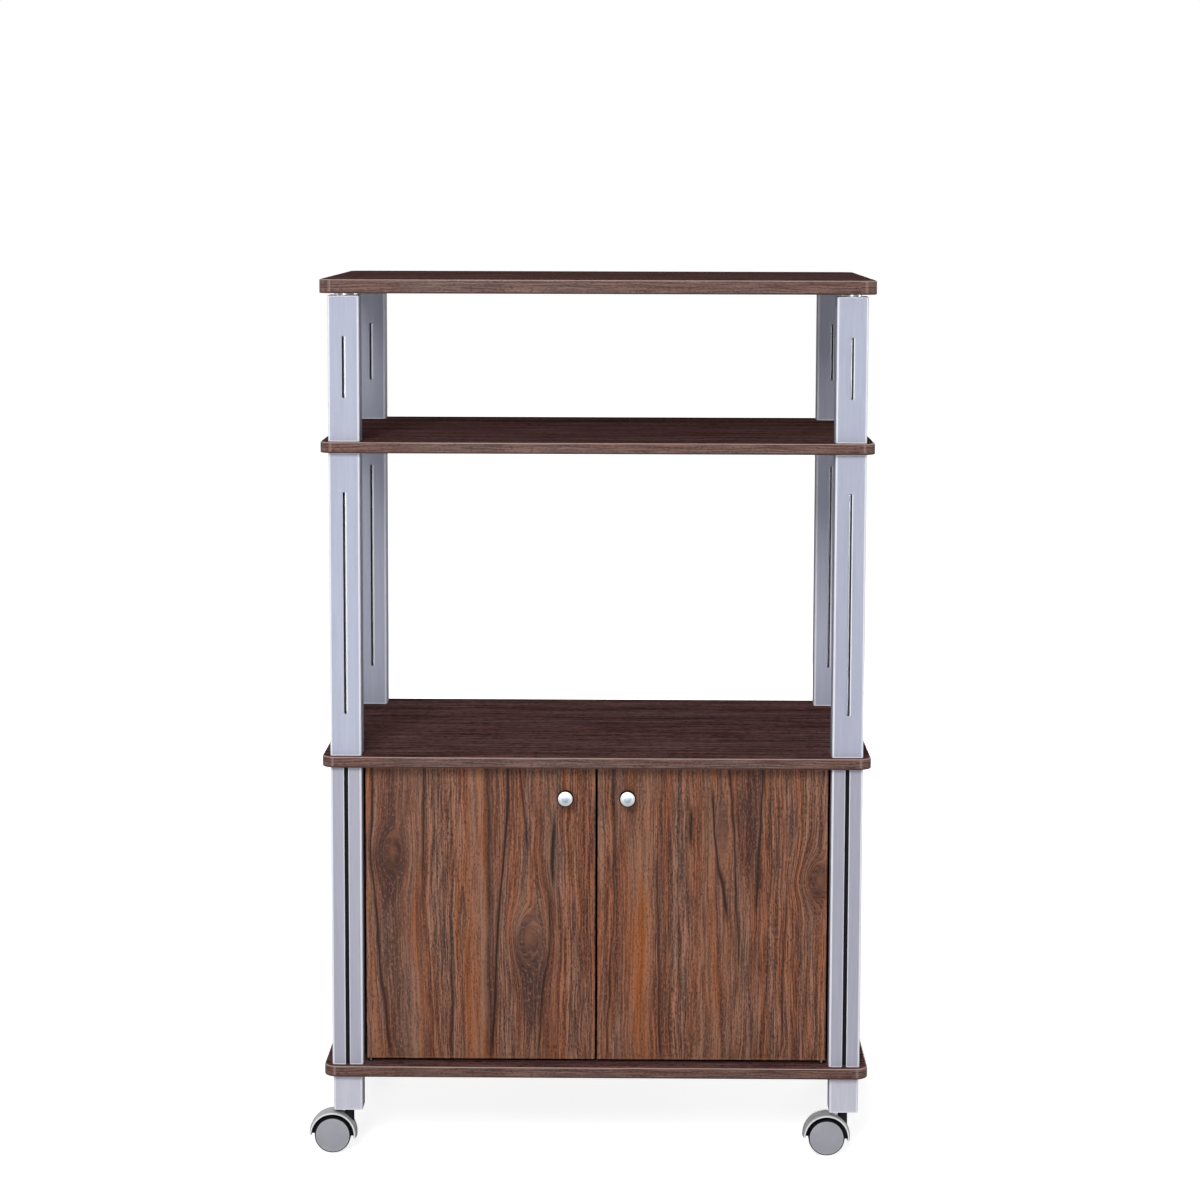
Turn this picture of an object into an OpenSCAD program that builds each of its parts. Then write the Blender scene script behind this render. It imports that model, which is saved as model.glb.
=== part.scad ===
// A rolling kitchen cart: four boards on square steel posts, a two-door cabinet at the bottom, twin-wheel
// casters. X runs from left to right, Y from front to back, Z up. The origin is on the floor under the
// middle of the cart. Millimetres.

/* [Boards] */
// Width of the four boards, side to side
board_w = 600; // [540:1:720]
// Depth of the four boards, front to back
board_d = 400; // [340:1:480]
// Radius of the boards' corners
board_corner_r = 16; // [6:0.5:22]
// Thickness of the top board
top_board_t = 15; // [13:0.5:22]
// Thickness of the three lower boards
shelf_t = 12; // [10:0.5:18]

/* [Posts] */
// Outside width of a square post
post_w = 34; // [32:0.5:40]
// Wall thickness of a post
post_wall = 1.2; // [0.8:0.1:1.6]
// Outside corner radius of a post and of a foot
post_corner_r = 2.5; // [2:0.1:4]
// Distance from the boards' side edges to the posts
post_inset_x = 9; // [4:0.5:20]
// Distance from the boards' front and back edges to the posts
post_inset_y = 8; // [4:0.5:16]
// Length of a top storey post
short_post_h = 157.5; // [120:0.5:240]
// Length of a middle storey post
middle_post_h = 332; // [280:1:420]
// Length of a cabinet post
cabinet_post_h = 334; // [280:1:420]
// Width of the slot in the front of an upper post
slot_w = 3; // [2:0.1:5]
// Length of the slot in a top storey post
short_slot_l = 67; // [30:1:90]
// Length of the slot in a middle storey post
middle_slot_l = 243; // [120:1:250]
// How far a slot's middle lies above its post's middle
slot_rise = 1.8; // [0:0.1:4]
// Depth of the panel grooves folded into a cabinet post
groove_depth = 8; // [5:0.5:9]
// Radius of the lips at a groove's mouth
lip_r = 1; // [0.5:0.1:1.2]

/* [Feet] */
// Outside width of a square foot
foot_w = 32; // [28:0.5:36]
// Wall thickness of a foot
foot_wall = 1.5; // [1:0.1:2.5]
// Thickness of the plate that closes a foot's top
foot_plate_t = 3; // [2:0.1:5]
// Height of a foot, from the caster's collar to the base board
foot_h = 40; // [34:1:60]

/* [Tie rods] */
// Diameter of a tie rod
rod_d = 8; // [6:0.5:9]
// Length of a tie rod below its nut
rod_tail = 3; // [1:0.5:5]
// Width across flats of a nut
nut_af = 13; // [12:0.5:14]
// Height of a nut
nut_h = 8; // [6:0.5:10]
// Diameter of a nut's flange
nut_flange_d = 17; // [16:0.5:20]
// Thickness of a nut's flange
nut_flange_t = 1.6; // [1:0.1:3]
// Diameter of the flange of an insert under the top board
insert_flange_d = 22; // [16:0.5:28]
// Thickness of that flange
insert_flange_t = 2.5; // [1.5:0.1:4]
// Diameter of an insert's barrel
insert_barrel_d = 12; // [11:0.5:14]
// Length of an insert's barrel
insert_barrel_l = 11; // [8:0.5:11.5]
// Length of a plug in a post's end
plug_l = 12; // [8:1:20]

/* [Cabinet panels] */
// Thickness of a side panel
side_panel_t = 4; // [3:0.1:6]
// Thickness of the back panel
back_panel_t = 3; // [2.5:0.1:5]
// Distance from the boards' back edge to the back panel
back_panel_inset = 26.5; // [22:0.5:36]
// Depth of the grooves that hold the back panel
back_groove_depth = 5; // [3:0.5:7]

/* [Doors] */
// Thickness of a door
door_t = 12; // [12:0.5:18]
// Distance from the boards' front edge to the doors' front
door_setback = 22; // [16:0.5:30]
// Gap between a door and its post
door_side_gap = 3; // [2.5:0.1:5]
// Gap between the two doors
door_middle_gap = 2.4; // [1:0.1:4]
// Gap under a door
door_bottom_gap = 3.5; // [2:0.1:6]
// Gap over a door
door_top_gap = 2; // [1:0.1:5]
// Distance from a door's outer edge and front face to its pivot axis
pivot_inset = 4; // [3:0.1:4.5]
// Diameter of a pivot pin
pin_d = 3; // [2:0.1:3.4]
// Length of a pivot plate
plate_l = 20; // [16:0.5:30]
// Width of a pivot plate
plate_w = 8; // [7:0.5:9]
// Thickness of a pivot plate
plate_t = 1.2; // [0.8:0.1:2]
// Outside diameter of a pivot bush
bush_d = 5; // [4.6:0.1:6]
// Length of a pivot bush
bush_l = 8; // [5:0.5:9]
// Diameter of the flange on a lower bush
bush_flange_d = 7; // [6.2:0.1:8]
// Thickness of that flange
bush_flange_t = 0.8; // [0.5:0.1:1.2]

/* [Knobs] */
// Diameter of a knob's head
knob_d = 18.5; // [14:0.5:24]
// Length of a knob in front of its door
knob_l = 21; // [18:0.5:28]
// Diameter of a knob's foot
knob_foot_d = 10; // [9:0.5:13]
// Diameter of a knob's neck
knob_neck_d = 7.4; // [6.5:0.1:8.5]
// Distance between the two knobs
knob_spacing = 68; // [60:1:120]
// Distance from a door's top edge down to its knob
knob_drop = 32; // [30:1:120]
// Diameter of a knob's screw
knob_screw_d = 4; // [3:0.1:4.5]

/* [Magnetic catch] */
// Distance from the middle of the cart to each magnet
catch_x = 18; // [16:0.5:20]
// Width of the catch housing
catch_w = 60; // [56:1:80]
// Height of the catch housing
catch_h = 12; // [11:0.5:16]
// Depth of the catch housing
catch_d = 16; // [12:0.5:24]
// Width of a magnet
magnet_w = 12; // [8:0.5:13]
// Height of a magnet
magnet_h = 8; // [5:0.5:8]
// Depth of a magnet
magnet_d = 10; // [6:0.5:11]
// Width of a strike plate
strike_w = 26; // [22:0.5:28]
// Height of a strike plate
strike_h = 14; // [10:0.5:16]
// Thickness of a strike plate
strike_t = 1; // [0.8:0.1:2]
// Distance from a door's top edge down to its strike plate
strike_drop = 1; // [0.5:0.5:3]
// Diameter of the small screws
screw_d = 3; // [2.5:0.1:3.5]
// Length of the small screws in the doors
screw_l = 10; // [6:0.5:11]

/* [Casters] */
// Diameter of a wheel
wheel_d = 40; // [36:0.5:50]
// Width of one wheel
wheel_w = 8.9; // [7:0.1:12]
// Thickness of the web between a caster's two wheels
web_t = 8; // [7.6:0.1:12]
// Gap between a wheel and the web
wheel_side_gap = 0.6; // [0.4:0.1:1.5]
// Gap between a wheel's tread and the hood
hood_gap = 3.4; // [1:0.1:5]
// Wall thickness of the hood at its rims
hood_wall = 1.6; // [1.2:0.1:3]
// How much higher the hood is in the middle than at its rims
hood_crown = 1.5; // [0.5:0.1:3]
// Depth of the hood, along the axle
hood_depth = 26; // [22:0.5:30]
// How much lower the hood's rim is under the stem than at its far end
hood_dip = 3.3; // [0:0.1:6]
// Height of the neck between the hood and the foot
neck_h = 3.5; // [2:0.1:8]
// Distance from the stem's axis to the wheels' axle
caster_trail = 18; // [15:0.5:19]
// Diameter of the boss on the hood
boss_d = 10.6; // [9.6:0.1:14]
// Diameter of a stem in its socket
stem_d = 8; // [7:0.1:9.5]
// Diameter of a stem's collar
collar_d = 11; // [10:0.5:14]
// Thickness of a stem's collar
collar_t = 1.5; // [1:0.1:1.8]
// Diameter of a stem's journal in the hood
journal_d = 6; // [5:0.1:6.5]
// Length of that journal
journal_l = 14.2; // [8:0.1:15]
// Diameter of an axle
axle_d = 4; // [3:0.1:5]
// Diameter of a wheel's hub and of the web's eye round the axle
hub_d = 12; // [9:0.5:18]
// Thickness of a wheel's tread ring
tread_t = 2.8; // [2:0.1:4]
// Thickness of a wheel's closed face
face_t = 1.8; // [1.5:0.1:3]

/* [Clearances] */
// Radial gap round a pin, journal, axle, bush, barrel, nut thread or screw
fit_gap = 0.05; // [0.02:0.01:0.1]
// Gap between the end of a pin and the floor of its bush, and at the journal's ends
end_gap = 0.2; // [0.1:0.05:0.4]
// Gap between a plug or a socket and its tube
plug_gap = 0.2; // [0.1:0.05:0.4]
// Gap on each side and at the edges of a panel in its grooves
panel_gap = 0.2; // [0.1:0.05:0.4]
// Radial gap round a tie rod in boards, plugs and feet
rod_gap = 0.4; // [0.2:0.1:0.8]
// Gap between a strike plate and its magnet
strike_gap = 0.3; // [0.1:0.1:1]

/* [Hidden] */
$fn = 64;

CORNERS = [["front_left", -1, -1], ["front_right", 1, -1], ["rear_left", -1, 1], ["rear_right", 1, 1]];
SIDES = [["left", -1], ["right", 1]];
// Each caster's two wheels: the outer one faces away from the cart's middle, front or back
WHEELS = [["outer", 1], ["inner", -1]];

// How far a cutting shape runs past what it cuts
cut = 1;

// Colours
WALNUT_BOARD = [0.30, 0.21, 0.19];
WALNUT_DOOR = [0.42, 0.27, 0.21];
POWDER_COAT = [0.70, 0.72, 0.78];
BRIGHT_STEEL = [0.82, 0.82, 0.83];
CATCH_WHITE = [0.90, 0.89, 0.86];
MAGNET_GREY = [0.25, 0.25, 0.27];
PLUG_BLACK = [0.12, 0.12, 0.13];
CASTER_GREY = [0.58, 0.58, 0.61];

// Levels, from the floor up
wheel_r = wheel_d / 2;
well_r = wheel_r + hood_gap;
hood_r = well_r + hood_wall + hood_crown;
foot_z = wheel_r + hood_r + neck_h;
base_z = foot_z + foot_h;
base_top_z = base_z + shelf_t;
cabinet_z = base_top_z + cabinet_post_h;
cabinet_top_z = cabinet_z + shelf_t;
shelf_z = cabinet_top_z + middle_post_h;
shelf_top_z = shelf_z + shelf_t;
flange_z = shelf_top_z + short_post_h;
top_z = flange_z + insert_flange_t;

// Posts
post_x = board_w / 2 - post_inset_x - post_w / 2;
post_y = board_d / 2 - post_inset_y - post_w / 2;
post_bore_w = post_w - 2 * post_wall;
post_bore_r = post_corner_r - post_wall;
plug_w = post_bore_w - 2 * plug_gap;
foot_bore_w = foot_w - 2 * foot_wall;
groove_w = side_panel_t + 2 * panel_gap;
fold_w = groove_w + 2 * post_wall;
fold_depth = groove_depth + post_wall;

// Tie rods and what holds them
rod_end_gap = 1;
rod_z = base_z - foot_plate_t - nut_h - rod_tail;
rod_top_z = top_z + insert_barrel_l - rod_end_gap;
rod_hole_d = rod_d + 2 * rod_gap;
rod_thread_d = rod_d + 2 * fit_gap;

// Casters
socket_h = rod_z - 2 * rod_end_gap - foot_z;
stem_l = socket_h - rod_end_gap;
collar_z = foot_z - collar_t;
boss_top_z = collar_z - end_gap;
journal_z = collar_z - journal_l;
hood_tilt = asin(hood_dip / (2 * (well_r + hood_wall)));
hood_crown_r = (pow(hood_depth / 2, 2) + pow(hood_crown, 2)) / (2 * hood_crown);
wheel_inner_y = web_t / 2 + wheel_side_gap;
wheel_outer_y = wheel_inner_y + wheel_w;
wheel_round = 0.8;
axle_end_y = wheel_outer_y - face_t - end_gap;

// Doors
door_outer_x = board_w / 2 - post_inset_x - post_w - door_side_gap;
door_inner_x = door_middle_gap / 2;
door_front_y = door_setback - board_d / 2;
door_back_y = door_front_y + door_t;
door_z = base_top_z + door_bottom_gap;
door_top_z = cabinet_z - door_top_gap;
pivot_x = door_outer_x - pivot_inset;
pivot_y = door_front_y + pivot_inset;
plate_margin = 0.5;
plate_outer_x = pivot_x + pin_d / 2 + plate_margin;
plate_front_y = pivot_y - pin_d / 2 - plate_margin;
plate_screw_inset = 6;
plate_screw_x = plate_outer_x - plate_l + plate_screw_inset;
plate_screw_y = plate_front_y + plate_w / 2;
bush_floor = 1;
pin_l = bush_l - bush_floor - end_gap;

// Knobs
knob_x = knob_spacing / 2;
knob_z = door_top_z - knob_drop;
knob_screw_grip = 8;
pan_head_ratio = 2;
pan_head_h = 2.4;

// Catch
strike_z = door_top_z - strike_drop - strike_h;
strike_screw_inset = 4;
strike_screw_x = strike_w / 2 - strike_screw_inset;
catch_y = door_back_y + strike_t + strike_gap;
catch_screw_x = 4.6;
catch_screw_head_d = 5.6;
catch_screw_head_h = 2.2;
catch_screw_depth = 3;
catch_screw_cover = 4;
catch_screw_grip = shelf_t - catch_screw_cover;

// ---- Shared shapes ----

// A rectangle with equal round corners, centred
module rounded_rect(w, d, r) {
    square([w - 2 * r, d], center = true);
    square([w, d - 2 * r], center = true);
    for (x = [-1, 1], y = [-1, 1])
        translate([x * (w / 2 - r), y * (d / 2 - r)])
            circle(r = r);
}

// Children moved from the origin to the post axis of one corner
module at_corner(c) {
    translate([c[1] * post_x, c[2] * post_y, 0])
        children();
}

// Children drawn for the right side, mirrored when the side is the left one
module on_side(side) {
    mirror([side < 0 ? 1 : 0, 0, 0])
        children();
}

// A bore along Z that runs past both ends of a height h
module bore(d, h) {
    translate([0, 0, -cut])
        cylinder(d = d, h = h + 2 * cut);
}

// A screw with a pan head under z = 0 and its shank pointing up
module pan_screw(d, length, head_d, head_h) {
    translate([0, 0, -head_h])
        cylinder(d = head_d, h = head_h);
    cylinder(d = d, h = length);
}

// A countersunk screw, its flat head in the plane z = 0 and its shank pointing up through a plate
module countersunk_screw(length, plate) {
    cylinder(d1 = screw_d + 2 * plate, d2 = screw_d, h = plate);
    translate([0, 0, plate])
        cylinder(d = screw_d, h = length - plate);
}

// The hole for that screw, open below z = 0
module countersunk_hole(length, plate) {
    translate([0, 0, -cut])
        cylinder(d1 = screw_d + 2 * (plate + cut + fit_gap), d2 = screw_d + 2 * fit_gap, h = plate + cut);
    cylinder(d = screw_d + 2 * fit_gap, h = length + end_gap);
}

// ---- Boards ----

// A board with the four rod holes, its underside at height z
module drilled_board(z, t) {
    translate([0, 0, z])
        difference() {
            linear_extrude(t)
                rounded_rect(board_w, board_d, board_corner_r);
            for (c = CORNERS)
                at_corner(c)
                    bore(rod_hole_d, t);
        }
}

// The groove for the back panel, centred on height z
module back_groove(z) {
    translate([0, board_d / 2 - back_panel_inset - back_panel_t / 2, z])
        cube([2 * (post_x - post_w / 2), back_panel_t + 2 * panel_gap, 2 * back_groove_depth], center = true);
}

// The two pockets for pivot bushes, centred on height z
module bush_pockets(z) {
    for (s = SIDES)
        on_side(s[1])
            translate([pivot_x, pivot_y, z - bush_l])
                cylinder(d = bush_d + 2 * fit_gap, h = 2 * bush_l);
}

module top_board() {
    color(WALNUT_BOARD)
        difference() {
            translate([0, 0, top_z])
                linear_extrude(top_board_t)
                    rounded_rect(board_w, board_d, board_corner_r);
            for (c = CORNERS)
                at_corner(c)
                    translate([0, 0, top_z - cut])
                        cylinder(d = insert_barrel_d + 2 * fit_gap, h = insert_barrel_l + end_gap + cut);
        }
}

module upper_shelf() {
    color(WALNUT_BOARD)
        drilled_board(shelf_z, shelf_t);
}

module cabinet_top() {
    color(WALNUT_BOARD)
        difference() {
            drilled_board(cabinet_z, shelf_t);
            back_groove(cabinet_z);
            bush_pockets(cabinet_z);
            for (x = [-1, 1])
                translate([x * catch_screw_x, catch_y + catch_d / 2, cabinet_z - cut])
                    cylinder(d = screw_d + 2 * fit_gap, h = catch_screw_grip + end_gap + cut);
        }
}

module base_board() {
    color(WALNUT_BOARD)
        difference() {
            drilled_board(base_z, shelf_t);
            back_groove(base_top_z);
            bush_pockets(base_top_z);
        }
}

// ---- Posts, feet and plugs ----

// An upper post of height h standing on height z, with a slot of length slot_l in its front face
module slotted_post(c, z, h, slot_l) {
    color(POWDER_COAT)
        at_corner(c)
            translate([0, 0, z])
                difference() {
                    linear_extrude(h)
                        difference() {
                            rounded_rect(post_w, post_w, post_corner_r);
                            rounded_rect(post_bore_w, post_bore_w, post_bore_r);
                        }
                    translate([0, -post_w / 2 + 2 * post_wall, h / 2 + slot_rise])
                        rotate([90, 0, 0])
                            linear_extrude(2 * post_wall + cut) {
                                square([slot_w, slot_l - slot_w], center = true);
                                for (y = [-1, 1])
                                    translate([0, y * (slot_l - slot_w) / 2])
                                        circle(d = slot_w);
                            }
                }
}

module short_post(c) {
    slotted_post(c, shelf_top_z, short_post_h, short_slot_l);
}

module middle_post(c) {
    slotted_post(c, cabinet_top_z, middle_post_h, middle_slot_l);
}

// A rectangle of width w that reaches depth d into the post from its front and from its back
module front_and_back(w, d) {
    for (y = [-1, 1])
        translate([0, y * (post_w / 2 - d / 2)])
            square([w, d], center = true);
}

// The widened mouths of the two grooves, between lips of radius lip_r
module groove_mouths() {
    difference() {
        front_and_back(groove_w + 2 * lip_r, lip_r);
        for (x = [-1, 1], y = [-1, 1])
            translate([x * (groove_w / 2 + lip_r), y * (post_w / 2 - lip_r)])
                circle(r = lip_r);
    }
}

// A cabinet post, with a groove folded into its front face and one into its back face
module cabinet_post(c) {
    color(POWDER_COAT)
        at_corner(c)
            translate([0, 0, base_top_z])
                linear_extrude(cabinet_post_h)
                    difference() {
                        union() {
                            difference() {
                                rounded_rect(post_w, post_w, post_corner_r);
                                rounded_rect(post_bore_w, post_bore_w, post_bore_r);
                            }
                            front_and_back(fold_w, fold_depth);
                        }
                        front_and_back(groove_w, groove_depth);
                        groove_mouths();
                    }
}

// A foot: a square tube with a closed top, which the tie rod comes through
module foot(c) {
    color(POWDER_COAT)
        at_corner(c)
            translate([0, 0, foot_z])
                difference() {
                    linear_extrude(foot_h)
                        rounded_rect(foot_w, foot_w, post_corner_r);
                    translate([0, 0, -cut])
                        linear_extrude(foot_h - foot_plate_t + cut)
                            rounded_rect(foot_bore_w, foot_bore_w, post_bore_r);
                    bore(rod_hole_d, foot_h);
                }
}

// Plugs in both ends of every upper post, which centre the rod
module post_plugs() {
    color(PLUG_BLACK)
        for (c = CORNERS, z = [cabinet_top_z, shelf_z - plug_l, shelf_top_z, flange_z - plug_l])
            at_corner(c)
                translate([0, 0, z])
                    linear_extrude(plug_l)
                        difference() {
                            rounded_rect(plug_w, plug_w, post_bore_r);
                            circle(d = rod_hole_d);
                        }
}

// Plugs in both ends of every cabinet post, notched for the folds
module cabinet_post_plugs() {
    color(PLUG_BLACK)
        for (c = CORNERS, z = [base_top_z, cabinet_z - plug_l])
            at_corner(c)
                translate([0, 0, z])
                    linear_extrude(plug_l)
                        difference() {
                            rounded_rect(plug_w, plug_w, post_bore_r);
                            front_and_back(fold_w + 2 * plug_gap, fold_depth + plug_gap);
                            circle(d = rod_hole_d);
                        }
}

// A socket in every foot, which holds the caster's stem
module foot_sockets() {
    color(PLUG_BLACK)
        for (c = CORNERS)
            at_corner(c)
                translate([0, 0, foot_z])
                    linear_extrude(socket_h)
                        difference() {
                            rounded_rect(foot_bore_w - 2 * plug_gap, foot_bore_w - 2 * plug_gap, post_bore_r);
                            circle(d = stem_d + 2 * fit_gap);
                        }
}

// ---- Tie rods ----

// One rod down each corner, from the insert in the top board to the nut in the foot
module tie_rods() {
    color(BRIGHT_STEEL)
        for (c = CORNERS)
            at_corner(c)
                translate([0, 0, rod_z])
                    cylinder(d = rod_d, h = rod_top_z - rod_z);
}

module flange_nuts() {
    color(BRIGHT_STEEL)
        for (c = CORNERS)
            at_corner(c)
                translate([0, 0, rod_z + rod_tail])
                    difference() {
                        union() {
                            cylinder(d = nut_af / cos(30), h = nut_h, $fn = 6);
                            translate([0, 0, nut_h - nut_flange_t])
                                cylinder(d = nut_flange_d, h = nut_flange_t);
                        }
                        bore(rod_thread_d, nut_h);
                    }
}

// Threaded inserts under the top board: the flange lies between post and board, the barrel in the board
module top_inserts() {
    color(BRIGHT_STEEL)
        for (c = CORNERS)
            at_corner(c)
                translate([0, 0, flange_z])
                    difference() {
                        union() {
                            cylinder(d = insert_flange_d, h = insert_flange_t);
                            cylinder(d = insert_barrel_d, h = insert_flange_t + insert_barrel_l);
                        }
                        bore(rod_thread_d, insert_flange_t + insert_barrel_l);
                    }
}

// ---- Cabinet ----

// A side panel stands in the back groove of its front post and the front groove of its rear post
module side_panel(side) {
    panel_d = 2 * (post_y - post_w / 2 + groove_depth - panel_gap);
    color(WALNUT_BOARD)
        translate([side * post_x - side_panel_t / 2, -panel_d / 2, base_top_z])
            cube([side_panel_t, panel_d, cabinet_post_h - panel_gap]);
}

// The back panel stands in the base board's groove and reaches into the cabinet top's groove
module back_panel() {
    panel_w = 2 * (post_x - post_w / 2 - panel_gap);
    color(WALNUT_BOARD)
        translate([-panel_w / 2, board_d / 2 - back_panel_inset - back_panel_t, base_top_z - back_groove_depth])
            cube([panel_w, back_panel_t, cabinet_post_h + 2 * back_groove_depth - panel_gap]);
}

// The block of a pivot plate in the door's bottom edge, grown by a gap at its four sides, and the same
// in the top edge
module plate_blocks(gap) {
    for (z = [door_z, door_top_z - plate_t])
        translate([plate_outer_x - plate_l - gap, plate_front_y - gap, z])
            cube([plate_l + 2 * gap, plate_w + 2 * gap, plate_t]);
}

// Children placed at a pivot plate's screw in the bottom edge, pointing up, and mirrored in the top edge
module at_plate_screws() {
    translate([plate_screw_x, plate_screw_y, door_z])
        children();
    translate([plate_screw_x, plate_screw_y, door_top_z])
        mirror([0, 0, 1])
            children();
}

// Children placed at the strike plate's two screws, pointing to the front
module at_strike_screws() {
    for (x = [-1, 1])
        translate([catch_x + x * strike_screw_x, door_back_y + strike_t, strike_z + strike_h / 2])
            rotate([90, 0, 0])
                children();
}

module door(side) {
    color(WALNUT_DOOR)
        on_side(side)
            difference() {
                translate([door_inner_x, door_front_y, door_z])
                    cube([door_outer_x - door_inner_x, door_t, door_top_z - door_z]);
                plate_blocks(fit_gap);
                at_plate_screws()
                    countersunk_hole(screw_l, plate_t);
                at_strike_screws()
                    countersunk_hole(screw_l, strike_t);
                translate([knob_x, door_back_y, knob_z])
                    rotate([90, 0, 0])
                        bore(knob_screw_d + 2 * fit_gap, door_t);
            }
}

// The two pivot plates of a door, let into its edges, each with its pin
module hinge_plates(side) {
    color(BRIGHT_STEEL)
        on_side(side) {
            difference() {
                plate_blocks(0);
                at_plate_screws()
                    countersunk_hole(screw_l, plate_t);
            }
            translate([pivot_x, pivot_y, base_top_z - pin_l])
                cylinder(d = pin_d, h = pin_l + door_bottom_gap + plate_t);
            translate([pivot_x, pivot_y, door_top_z - plate_t])
                cylinder(d = pin_d, h = plate_t + door_top_gap + pin_l);
        }
}

// The bushes that the pins turn in: one in the base board, with a flange, and one in the cabinet top
module pivot_bushes() {
    color(PLUG_BLACK)
        for (s = SIDES)
            on_side(s[1])
                translate([pivot_x, pivot_y, 0]) {
                    difference() {
                        union() {
                            translate([0, 0, base_top_z - bush_l])
                                cylinder(d = bush_d, h = bush_l);
                            translate([0, 0, base_top_z])
                                cylinder(d = bush_flange_d, h = bush_flange_t);
                        }
                        translate([0, 0, base_top_z - bush_l + bush_floor])
                            cylinder(d = pin_d + 2 * fit_gap, h = bush_l + bush_flange_t);
                    }
                    difference() {
                        translate([0, 0, cabinet_z])
                            cylinder(d = bush_d, h = bush_l);
                        translate([0, 0, cabinet_z - cut])
                            cylinder(d = pin_d + 2 * fit_gap, h = bush_l - bush_floor + cut);
                    }
                }
}

// A knob turned in one piece: a foot, a waisted neck and a domed head, with a threaded hole in its foot
module knob(side) {
    head_t = 3;
    dome_h = 4;
    foot_t = 2;
    under_h = 4;
    head_z = knob_l - dome_h - head_t;
    dome = [for (a = [0 : 10 : 90]) [knob_d / 2 * cos(a), knob_l - dome_h + dome_h * sin(a)]];
    color(BRIGHT_STEEL)
        on_side(side)
            translate([knob_x, door_front_y, knob_z])
                rotate([90, 0, 0])
                    difference() {
                        rotate_extrude()
                            polygon(concat(
                                [[0, 0], [knob_foot_d / 2, 0], [knob_foot_d / 2, foot_t],
                                 [knob_neck_d / 2, foot_t + 2], [knob_neck_d / 2, head_z - under_h],
                                 [knob_d / 2, head_z]],
                                dome));
                        translate([0, 0, -cut])
                            cylinder(d = knob_screw_d + 2 * fit_gap, h = knob_screw_grip + end_gap + cut);
                    }
}

module strike_plate(side) {
    color(BRIGHT_STEEL)
        on_side(side)
            difference() {
                translate([catch_x - strike_w / 2, door_back_y, strike_z])
                    cube([strike_w, strike_t, strike_h]);
                at_strike_screws()
                    countersunk_hole(screw_l, strike_t);
            }
}

// All the screws of one door: two in the pivot plates, two in the strike plate, one in the knob
module door_screws(side) {
    color(BRIGHT_STEEL)
        on_side(side) {
            at_plate_screws()
                countersunk_screw(screw_l, plate_t);
            at_strike_screws()
                countersunk_screw(screw_l, strike_t);
            translate([knob_x, door_back_y, knob_z])
                rotate([90, 0, 0])
                    pan_screw(knob_screw_d, door_t + knob_screw_grip, knob_screw_d * pan_head_ratio, pan_head_h);
        }
}

// The magnets' places, open to the front; a gap grows them at their sides
module magnet_blocks(gap) {
    for (x = [-1, 1])
        translate([x * catch_x - magnet_w / 2 - gap, catch_y, cabinet_z - catch_h / 2 - magnet_h / 2 - gap])
            cube([magnet_w + 2 * gap, magnet_d, magnet_h + 2 * gap]);
}

// Children placed where the catch's two screws meet the floor of their counterbores
module at_catch_screws() {
    for (x = [-1, 1])
        translate([x * catch_screw_x, catch_y + catch_d / 2, cabinet_z - catch_h + catch_screw_depth])
            children();
}

module catch_housing() {
    color(CATCH_WHITE)
        difference() {
            translate([-catch_w / 2, catch_y, cabinet_z - catch_h])
                cube([catch_w, catch_d, catch_h]);
            magnet_blocks(fit_gap);
            at_catch_screws() {
                bore(screw_d + 2 * fit_gap, catch_h);
                translate([0, 0, -catch_screw_depth - cut])
                    cylinder(d = catch_screw_head_d + 4 * fit_gap, h = catch_screw_depth + cut);
            }
        }
}

module catch_magnets() {
    color(MAGNET_GREY)
        magnet_blocks(0);
}

module catch_screws() {
    color(BRIGHT_STEEL)
        at_catch_screws()
            pan_screw(screw_d, catch_h - catch_screw_depth + catch_screw_grip, catch_screw_head_d,
                      catch_screw_head_h);
}

// ---- Casters ----

// Children drawn with the stem's axis on Z and the wheels trailing to +X. The front casters trail to the
// left and the rear ones to the right.
module at_caster(c) {
    at_corner(c)
        rotate([0, 0, c[2] < 0 ? 180 : 0])
            children();
}

// Children turned from Z to the axle, where +Z becomes the side of the outer wheel
module on_axle() {
    translate([caster_trail, 0, wheel_r])
        rotate([-90, 0, 0])
            children();
}

// The stems stay still in the feet: a shank in the socket, a collar, and a journal that the hood turns on
module caster_stems() {
    color(BRIGHT_STEEL)
        for (c = CORNERS)
            at_caster(c) {
                translate([0, 0, foot_z])
                    cylinder(d = stem_d, h = stem_l);
                translate([0, 0, collar_z])
                    cylinder(d = collar_d, h = collar_t);
                translate([0, 0, journal_z])
                    cylinder(d = journal_d, h = journal_l);
            }
}

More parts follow.
